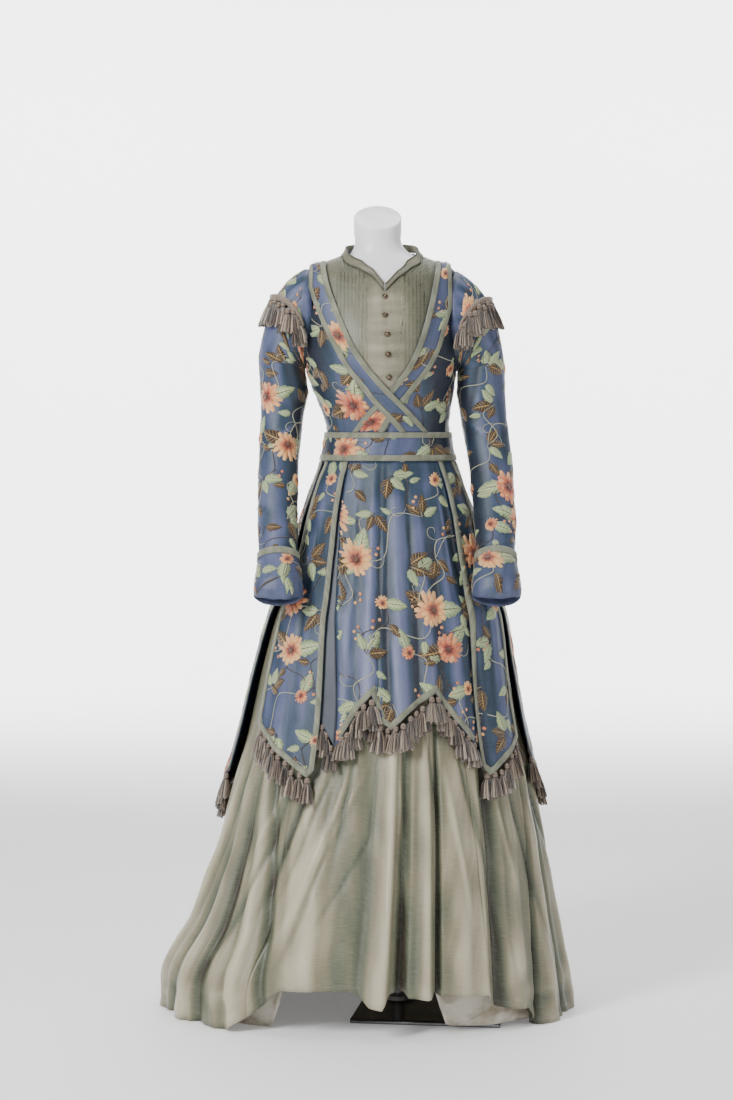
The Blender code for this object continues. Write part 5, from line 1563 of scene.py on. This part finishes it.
def makeCollar():
    look, grid = collarLook, []
    angles = even(look["first"], look["last"], 240)
    for share in even(0.0, 1.0, 7):
        row = []
        for degrees in angles:
            turned = degrees if degrees > -270 else degrees + 360
            height = readLine(neckline, turned)
            front = smoothStep(1.430, 1.405, height)
            lift = 0.0012 + (1 - share) * blend(0.0016, 0.001, front)
            angle = math.radians(degrees)
            flat = torsoPoint(angle, height + blend(-0.001, look["flatWidth"], share), lift)
            upright = torsoPoint(angle, height - 0.001, 0.0020)
            upright.x = blend(upright.x, look["middle"], look["lean"] * share)
            upright.y *= 1 - look["lean"] * share
            upright.z += look["rise"] * share
            row.append(upright.lerp(flat, front))
        grid.append(row)
    item = addCloth("collar_band", grid, yokeTaffeta, cloth["wall"])
    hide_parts("collar")
    cord = addRope("collar_piping", [point + Vector((0, 0, 0.0008)) for point in grid[-1]],
                   look["piping"], piping)
    line = []
    for low, high in zip(grid[0], grid[-1]):
        out = (low - Vector((look["middle"], 0, low.z))).normalized()
        line.append(blend(low, high, 0.10) + out * 0.0010)
    low = addRope("collar_seam_piping", line, look["seamPiping"], piping)
    declareCloth(grid)


def wrapSpot(side, height, share, lift):
    angle = blend(frontAngle(wrapX(height, side + "Outer"), height),
                  frontAngle(wrapX(height, side + "Inner"), height), share)
    lift += 0.0018 * smoothStep(1.31, 1.37, height)
    base = torsoBase(angle, height)
    if side == "left":
        away = math.hypot(base.x, height - 1.153)
        lift += bodiceLook["crossLift"] * (1 - smoothStep(0.037, 0.053, away))
    return torsoPoint(angle, height, lift + 0.0005 * ripple(base, 40, 30))


def makeWraps():
    base = 0.0014 + cloth["wall"]
    heights = even(1.1006, bodiceLook["wrapTop"], 84)
    for index, side in enumerate(("right", "left")):
        shares = even(0.0, 1.0, 15)
        if side == "right":
            shares.reverse()
        grid = [[wrapSpot(side, height, share, base) for share in shares] for height in heights]
        item = addCloth("wrap_band_" + side, grid, silk, cloth["wall"])
        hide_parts("wrap_" + side)
        first, last = shares[0], shares[-1]
        carrier = Carrier(lambda s, t: wrapSpot(side, blend(heights[-1], heights[0], t),
                                                blend(first, last, s), base), 60, 14)
        flowers = embroider("wrap_" + side, carrier, 83 + index)
        for edge in ("outer", "inner"):
            trim = []
            for height in heights:
                name = side + edge.capitalize()
                lean = (wrapX(height + 0.01, name) - wrapX(height - 0.01, name)) / 0.02
                wide = (wrapSpot(side, height, 1, base) - wrapSpot(side, height, 0, base)).length
                across = min(cloth["trimWidth"] * math.hypot(1.0, lean) / wide, 0.4)
                pair = (-0.006, across) if edge == "outer" else (1 - across, 1.006)
                ends = even(*pair, 5)
                if side == "right":
                    ends.reverse()
                lift = base + cloth["ribbonLift"] + cloth["ribbonWall"] + 0.0004
                trim.append([wrapSpot(side, height, share, lift) for share in ends])
            band = addCloth("wrap_" + side + "_ribbon_" + edge, trim, ribbon, cloth["ribbonWall"])
            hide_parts("wrap_" + side + "_trim_" + edge)
            declareCloth(trim)
        declareCloth(grid)


def makeBelt():
    angles = [n * math.tau / 180 for n in range(180)]
    lift = 0.0010 + cloth["wall"]

    def spot(angle, height, more=0.0):
        sway = 0.0006 * ripple(torsoBase(angle, height), 25, 60)
        return torsoPoint(angle, height, lift + more + sway)

    grid = [[spot(angle, height) for angle in angles] for height in even(waistLow, waistTop, 14)]
    item = addCloth("belt_band", grid, silk, cloth["wall"], closed=True, folds=sideShade(grid))
    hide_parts("belt")
    carrier = Carrier(lambda s, t: spot(math.pi / 2 + s * math.tau, blend(waistTop, waistLow, t)),
                      10, 160)
    flowers = embroider("belt", carrier, 92)
    for name, low, high in (("low", waistLow + 0.0002, waistLow + 0.011),
                            ("top", waistTop - 0.011, waistTop - 0.0002)):
        trim = [[spot(angle, height, trimLift) for angle in angles] for height in even(low, high, 4)]
        band = addCloth("belt_ribbon_" + name, trim, ribbon, cloth["ribbonWall"], closed=True)
        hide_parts("belt_trim_" + name)
        declareCloth(trim, closed=True)
    declareCloth(grid, closed=True)


makeBodice()
makeYoke()
makeCollar()
makeWraps()
makeBelt()
print("bodice made")


# sleeves, cuffs and the tasselled rings round the upper arms

sleeveLook = {
    "columns": 56, "rows": 96, "gather": 0.0011, "crease": 0.0030, "ripple": 0.0012,
    "cuffTop": 0.868, "cuffLow": 0.803, "flare": 0.0085, "lip": 0.027,
    "perDegree": 0.042 / 57.3,  # cloth round the arm for a degree of turn
    "long": 0.372,              # from one station to the next, in metres
}
sleeveTop = 1.180
wrist = 0.808
# creases of a sleeve: station and turn in degrees at both ends, half width and depth in metres
SleeveCrease = namedtuple("SleeveCrease", "s a t b half depth")
sleeveCreases = (
    SleeveCrease(1.24, -150, 1.30, -60, 0.007, -1.0), SleeveCrease(1.32, -160, 1.34, -50, 0.006, -0.8),
    SleeveCrease(1.40, -150, 1.37, -40, 0.007, -1.0), SleeveCrease(1.47, -140, 1.43, -50, 0.006, -0.7),
    SleeveCrease(0.70, -120, 1.02, -40, 0.009, -0.7), SleeveCrease(0.82, 60, 1.10, 130, 0.009, -0.7),
    SleeveCrease(1.52, -30, 1.66, 60, 0.009, -0.6), SleeveCrease(1.08, -20, 1.26, 50, 0.008, -0.6),
    SleeveCrease(1.56, -130, 1.72, -60, 0.008, -0.7), SleeveCrease(1.16, 150, 1.28, 80, 0.008, 0.6),
)


def cuffStation(height):
    return 1 + (sleeveTop - height) / (sleeveTop - wrist)


def sleeveSpot(arm, station, turn, lift=0.0):
    # station runs from 0 at the armhole to 1 at the cap's end and 2 at the wrist
    if station <= 1.0:
        key = max(station * capRings[-1].turn, 0.0)
        ring = readRows(capRings, round(key, 4))
        swing = math.radians(key)
        way = Vector((arm.side * math.sin(swing), 0, math.cos(swing)))
        center = Vector((arm.pivotX, 0, arm.pivotZ)) + way * ring.reach / 2
        if station < 0:
            center.x += arm.side * arm.start * station
        half, depth, sideWay = ring.reach / 2, ring.halfDepth, Vector((0, 1, 0))
    else:
        ring = readRows(arm.rings, round(blend(sleeveTop, wrist, station - 1), 5))
        center = Vector((ring.x, ring.y, ring.height))
        way = Vector((arm.side, 0, 0))
        lean = math.radians(ring.tilt)
        half, depth, sideWay = ring.radius, ring.depth, Vector((0, math.cos(lean), -math.sin(lean)))
    return center + way * (half + lift) * math.cos(turn) + sideWay * (
        (depth + lift) * math.sin(turn) * arm.side)


def sleeveSmall(arm, station, turn):
    look = sleeveLook
    point = sleeveSpot(arm, station, turn)
    small = look["ripple"] * ripple(point, 30, 18)
    cap = smoothStep(-0.05, 0.06, station) * (1 - smoothStep(0.06, 0.55, station))
    small += look["gather"] * cap * math.sin(turn * 17) * smoothStep(-0.2, 0.6, math.cos(turn))
    degrees = math.degrees(turn) * (1 if arm.side < 0 else -1)
    for crease in sleeveCreases:
        x = halfTurn(degrees - crease.a) * look["perDegree"]
        endX = (crease.b - crease.a) * look["perDegree"]
        y, endY = (station - crease.s) * look["long"], (crease.t - crease.s) * look["long"]
        share = creaseShare(x, y, endX, endY, crease.half, (-0.2, 0.3, 0.7, 1.2))
        small += look["crease"] * crease.depth * share
    return small * (1 - 0.7 * smoothStep(1.75, 1.84, station)) - 0.0003


def cuffLift(height):
    return 0.0020 + sleeveLook["flare"] * smoothStep(sleeveLook["cuffTop"], sleeveLook["cuffLow"], height)


def makeSleeves():
    look = sleeveLook
    turns = [n * math.tau / look["columns"] for n in range(look["columns"])]
    for index, arm in enumerate(arms):
        def spot(station, turn, arm=arm):
            return sleeveSpot(arm, station, turn, sleeveSmall(arm, station, turn))

        stations = [-0.0145 / arm.start, -0.5] + even(0.0, 2.0, look["rows"])
        grid = [[spot(station, turn) for turn in turns] for station in reversed(stations)]
        folds = []
        for station in reversed(stations):
            for turn in turns:
                small = min(max(sleeveSmall(arm, station, turn) / 0.003, -1.0), 1.0)
                # painted shade: creases darken and lighten with their depth, the side toward the body is
                # darkened to teal, and the end inside the cuff is painted dark as the shade within the
                # cuff's opening
                inner = 0.9 * smoothStep(-0.1, -0.9, math.cos(turn))
                folds.append(-1.2 if station > 1.9 else small - inner)
        item = addCloth("sleeve_tube_" + arm.name, grid, silk, cloth["wall"], closed=True, folds=folds)
        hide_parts("sleeve_" + arm.name)
        carrier = Carrier(lambda s, t: spot(blend(0.03, cuffStation(look["cuffTop"]), t),
                                            math.pi + s * math.tau), 110, 60)
        flowers = embroider("sleeve_" + arm.name, carrier, 101 + index)
        declareCloth(grid, closed=True)

        def cuffSpot(t, turn, more=0.0, arm=arm):
            # t runs from the turned edge at the wrist to the cuff's top edge
            height = blend(wrist, look["cuffTop"], max(t, 0.0))
            lift = cuffLift(height) + 0.0005 * ripple(sleeveSpot(arm, 1.9, turn), 40, 20)
            point = sleeveSpot(arm, cuffStation(height), turn, lift + more)
            if t < 0:
                low = look["lip"] * max(-arm.side * math.sin(turn), 0.0)
                low += 0.003 * ripple(point, 45, 0)
                point += Vector((0, -0.0065, -0.0120 - low)) * -t
            return point

        grid = [[cuffSpot(t, turn) for turn in turns] for t in [-1.0, -0.5] + even(0.0, 1.0, 16)]
        cuff = addCloth("cuff_turn_" + arm.name, grid, silk, cloth["wall"], closed=True)
        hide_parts("cuff_" + arm.name)
        carrier = Carrier(lambda s, t: cuffSpot(blend(1.0, -0.9, t), math.pi + s * math.tau), 24, 60)
        flowers = embroider("cuff_" + arm.name, carrier, 111 + index)
        trim = [[cuffSpot(t, turn, trimLift) for turn in turns] for t in even(0.80, 1.003, 5)]
        band = addCloth("cuff_ribbon_" + arm.name, trim, ribbon, cloth["ribbonWall"], closed=True)
        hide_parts("cuff_trim_" + arm.name)
        declareCloth(trim, closed=True)
        declareCloth(grid, closed=True)
        seat = sleeveSpot(arm, cuffStation(0.822), -math.pi / 6, cuffLift(0.822) + 0.0006)
        middle = sleeveSpot(arm, cuffStation(0.822), math.pi / 2).lerp(
            sleeveSpot(arm, cuffStation(0.822), -math.pi / 2), 0.5)
        addButton("wrist_button_" + arm.name, seat, (seat - middle).normalized(), 0.0050)
        makeEpaulette(arm, 121 + index)


epauletteLook = {"span": 98, "tassels": 19, "length": 0.049, "width": 0.0270, "height": 0.011}


def makeEpaulette(arm, seed):
    look = epauletteLook
    span = math.radians(look["span"])
    row = TasselRow(seed)

    def strip(turn, lift=0.0052):
        station = (27 - 25 * abs(turn / span) ** 1.5) / capRings[-1].turn
        return sleeveSpot(arm, station, turn, lift)

    turns = even(-span, span, 90)
    line = [strip(turn) for turn in turns]
    outs = []
    for n in range(90):
        side = line[min(n + 1, 89)] - line[max(n - 1, 0)]
        out = Vector((side.x, side.y, 0)).normalized().cross(Vector((0, 0, 1)))
        outs.append(out if out.dot(line[n] - Vector((arm.side * 0.19, 0, 1.3))) > 0 else -out)
    row.braid(line, outs, look["height"], 0.0020)
    for n, turn in enumerate(even(-span * 0.96, span * 0.96, look["tassels"])):
        point = strip(turn, 0.0058 + 0.004 * (n % 2)) + Vector((0, 0, 0.003 - 0.009 * (n % 2)))
        index = min(range(90), key=lambda k: abs(turns[k] - turn))
        side = outs[index].cross(Vector((0, 0, -1)))
        sway = 0.006 + 0.008 * max(math.cos(turn), 0.0)
        hang = Vector((0, 0, -0.048)) + outs[index] * sway
        row.tassel(point, side, outs[index], hang, look["length"], look["width"])
    item = row.finish("epaulette_tassels_" + arm.name)
    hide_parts("epaulette_" + arm.name)


# buttons: turned domes with a raised ring and a small boss

buttonProfile = ((0.0, 0.0046), (0.0012, 0.0045), (0.0017, 0.0038), (0.0025, 0.0035),
                 (0.0031, 0.0038), (0.0037, 0.0035), (0.0046, 0.0027), (0.0053, 0.0017),
                 (0.0055, 0.0009), (0.0052, 0.0), (0.0, 0.0))


buttonRadius = 0.0055


def addButton(name, seat, way, radius=buttonRadius):
    turn, sides = Vector((0, 0, 1)).rotation_difference(way), 24
    points, faces = [], []
    for reach, rise in buttonProfile[1:-1]:
        for n in range(sides):
            angle = n * math.tau / sides
            wave = 1 + (0.05 * math.cos(8 * angle) if 0.002 < reach < 0.005 else 0.0)
            local = Vector((reach * math.cos(angle), reach * math.sin(angle), rise * wave))
            points.append(seat + turn @ (local * radius / buttonRadius))
    rows = len(buttonProfile) - 2
    for face in gridFaces(rows, sides, True):
        faces.append(tuple(reversed(face)))
    faces.append(tuple(range(sides)))
    faces.append(tuple(reversed(range((rows - 1) * sides, rows * sides))))
    item = addMesh(name + "_dome", points, faces, [darkMetal])
    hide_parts(name)


def makeButtons():
    places = ((-0.0065, 1.357), (-0.0065, 1.321), (-0.0025, 1.285), (-0.001, 1.247), (0.001, 1.204))
    for n, (x, height) in enumerate(places, 1):
        angle = frontAngle(x, height)
        seat = torsoPoint(angle, height, 0.0008)
        way = (torsoPoint(angle, height, 0.01) - torsoPoint(angle, height, 0.0)).normalized()
        addButton("front_button_" + str(n), seat, way)


makeSleeves()
makeButtons()
print("sleeves and buttons made")


# form and stand

formLook = {"columns": 80, "frontTop": 1.490, "backTop": 1.540, "neck": 0.046, "edge": 0.003,
            "middle": -0.015, "half": 0.128, "skirtRoom": 0.0017}


def formPoint(angle, height):
    inset = 0.0015 if height > 1.479 else 0.0035 if height > 1.04 else 0.0
    inset += 0.0018 * smoothStep(1.33, 1.38, height) * (1 - smoothStep(1.46, 1.48, height))
    point = torsoPoint(angle, height, -inset)
    if height < 1.04:
        ring = readRows(skirtRings, max(height, 0.95))
        limit = blend(1.0, 0.9, smoothStep(1.04, 0.9, height))
        point.x = math.cos(angle) * (ring.right - formLook["skirtRoom"]) * limit
        depth = ring.back if math.sin(angle) > 0 else ring.front
        point.y = math.sin(angle) * (depth - formLook["skirtRoom"]) * limit
    if height > 1.20:
        middle, half = formLook["middle"], formLook["half"]
        point.x = min(max(point.x, middle - half), middle + half)
    return point


def makeForm():
    look = formLook
    angles = [n * math.tau / look["columns"] for n in range(look["columns"])]
    heights = even(0.86, 1.03, 12) + even(1.042, 1.40, 46) + even(1.405, 1.480, 26)
    grid = [[formPoint(angle, height) for angle in angles] for height in heights]
    for rise, inset in ((-0.4, 0.0), (0.0, 0.0), (0.75, 0.25), (1.0, 1.0)):
        row = []
        for angle in angles:
            top = blend(look["frontTop"], look["backTop"], 0.5 + 0.5 * math.sin(angle))
            reach = look["neck"] - look["edge"] * inset
            height = top - look["edge"] * (1 - rise) if rise >= 0 else blend(1.48, top, 0.5)
            row.append(Vector((-0.020 + reach * math.cos(angle), reach * math.sin(angle), height)))
        grid.append(row)
    points = [point for row in grid for point in row]
    faces = [tuple(reversed(range(look["columns"])))]
    faces += gridFaces(len(grid), look["columns"], True)
    faces.append(tuple(len(points) - look["columns"] + c for c in range(look["columns"])))
    item = addMesh("form_body", points, faces, [whiteForm])
    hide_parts("form_torso")


def makePlateEdge():
    # the thin bright line along the front of the base plate
    turn = math.radians(-8)
    points = []
    for x in (-0.1385, 0.1385):
        for y, z in ((-0.2003, 0.0016), (-0.2010, 0.0016), (-0.2010, 0.0064), (-0.2003, 0.0064)):
            points.append(Vector((0.094 + x * math.cos(turn) - y * math.sin(turn),
                                  0.0035 + x * math.sin(turn) + y * math.cos(turn), z)))
    faces = [(0, 1, 2, 3), (7, 6, 5, 4), (0, 4, 5, 1), (1, 5, 6, 2), (2, 6, 7, 3), (3, 7, 4, 0)]
    addMesh("plate_edge_strip", points, faces, [silverEdge])


def paintNode(name, material):
    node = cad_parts[name]
    node.data.materials.clear()
    node.data.materials.append(material)


makeForm()
makePlateEdge()
paintNode("base_plate", blackPlate)
paintNode("stand_rod", grayMetal)
print("form and stand made")


# floor, light and camera

stageLook = {"floor": (252, 252, 253), "glow": 0.16, "world": 0.36, "key": 175.0, "fill": 24.0,
             "top": 60.0, "backdrop": 520.0}


def makeStage():
    points, faces = [], []
    profile = [(-9.0, 0.0), (6.0, 0.0)]
    profile += [(6.0 + 2.5 * math.sin(a), 2.5 - 2.5 * math.cos(a))
                for a in even(0.1, math.pi / 2, 14)] + [(8.5, 9.0)]
    for y, z in profile:
        points += [Vector((-9, y, z)), Vector((9, y, z))]
    for n in range(len(profile) - 1):
        faces.append((2 * n, 2 * n + 1, 2 * n + 3, 2 * n + 2))
    mesh = bpy.data.meshes.new("floor")
    mesh.from_pydata(points, [], faces)
    mesh.shade_smooth()
    floor = bpy.data.materials.new("pale floor")
    floor.use_nodes = True
    shader = floor.node_tree.nodes["Principled BSDF"]
    shader.inputs["Base Color"].default_value = linear(stageLook["floor"])
    shader.inputs["Roughness"].default_value = 0.7
    shader.inputs["Emission Color"].default_value = (1, 1, 1, 1)
    shader.inputs["Emission Strength"].default_value = stageLook["glow"]
    mesh.materials.append(floor)
    item = bpy.data.objects.new("floor", mesh)
    bpy.context.scene.collection.objects.link(item)
    world = bpy.data.worlds.new("studio")
    world.use_nodes = True
    world.node_tree.nodes["Background"].inputs["Color"].default_value = (1, 1, 1, 1)
    world.node_tree.nodes["Background"].inputs["Strength"].default_value = stageLook["world"]
    bpy.context.scene.world = world


def addLight(name, place, aim, size, power):
    lamp = bpy.data.lights.new(name, "AREA")
    lamp.shape = "RECTANGLE"
    lamp.size, lamp.size_y = size
    lamp.energy = power
    item = bpy.data.objects.new(name, lamp)
    item.location = place
    item.rotation_euler = (Vector(aim) - Vector(place)).to_track_quat("-Z", "Y").to_euler()
    bpy.context.scene.collection.objects.link(item)


makeStage()
addLight("key", (-2.3, -2.7, 2.7), (0, 0, 0.9), (0.9, 1.8), stageLook["key"])
addLight("fill", (2.8, -2.0, 1.6), (0, 0, 0.8), (1.0, 1.8), stageLook["fill"])
addLight("top", (0.2, 0.6, 3.6), (0, 0, 0.8), (1.8, 1.8), stageLook["top"])
for place in (-2.6, 2.6):
    addLight("backdrop light", (place, 4.6, 3.4), (place * 0.5, 8.4, 1.6), (2.0, 2.0),
             stageLook["backdrop"])

cameraLook = {"aside": -0.0415, "distance": 5.0, "height": 1.123, "lens": 84.8, "shift": -0.118}

camera = bpy.data.objects.new("camera", bpy.data.cameras.new("camera"))
camera.data.sensor_width = 36
camera.data.lens = cameraLook["lens"]
camera.location = (cameraLook["aside"], -cameraLook["distance"], cameraLook["height"])
camera.data.shift_y = cameraLook["shift"]
camera.rotation_euler = (math.radians(90), 0, 0)
bpy.context.scene.collection.objects.link(camera)
bpy.context.scene.camera = camera
print("stage and camera made")
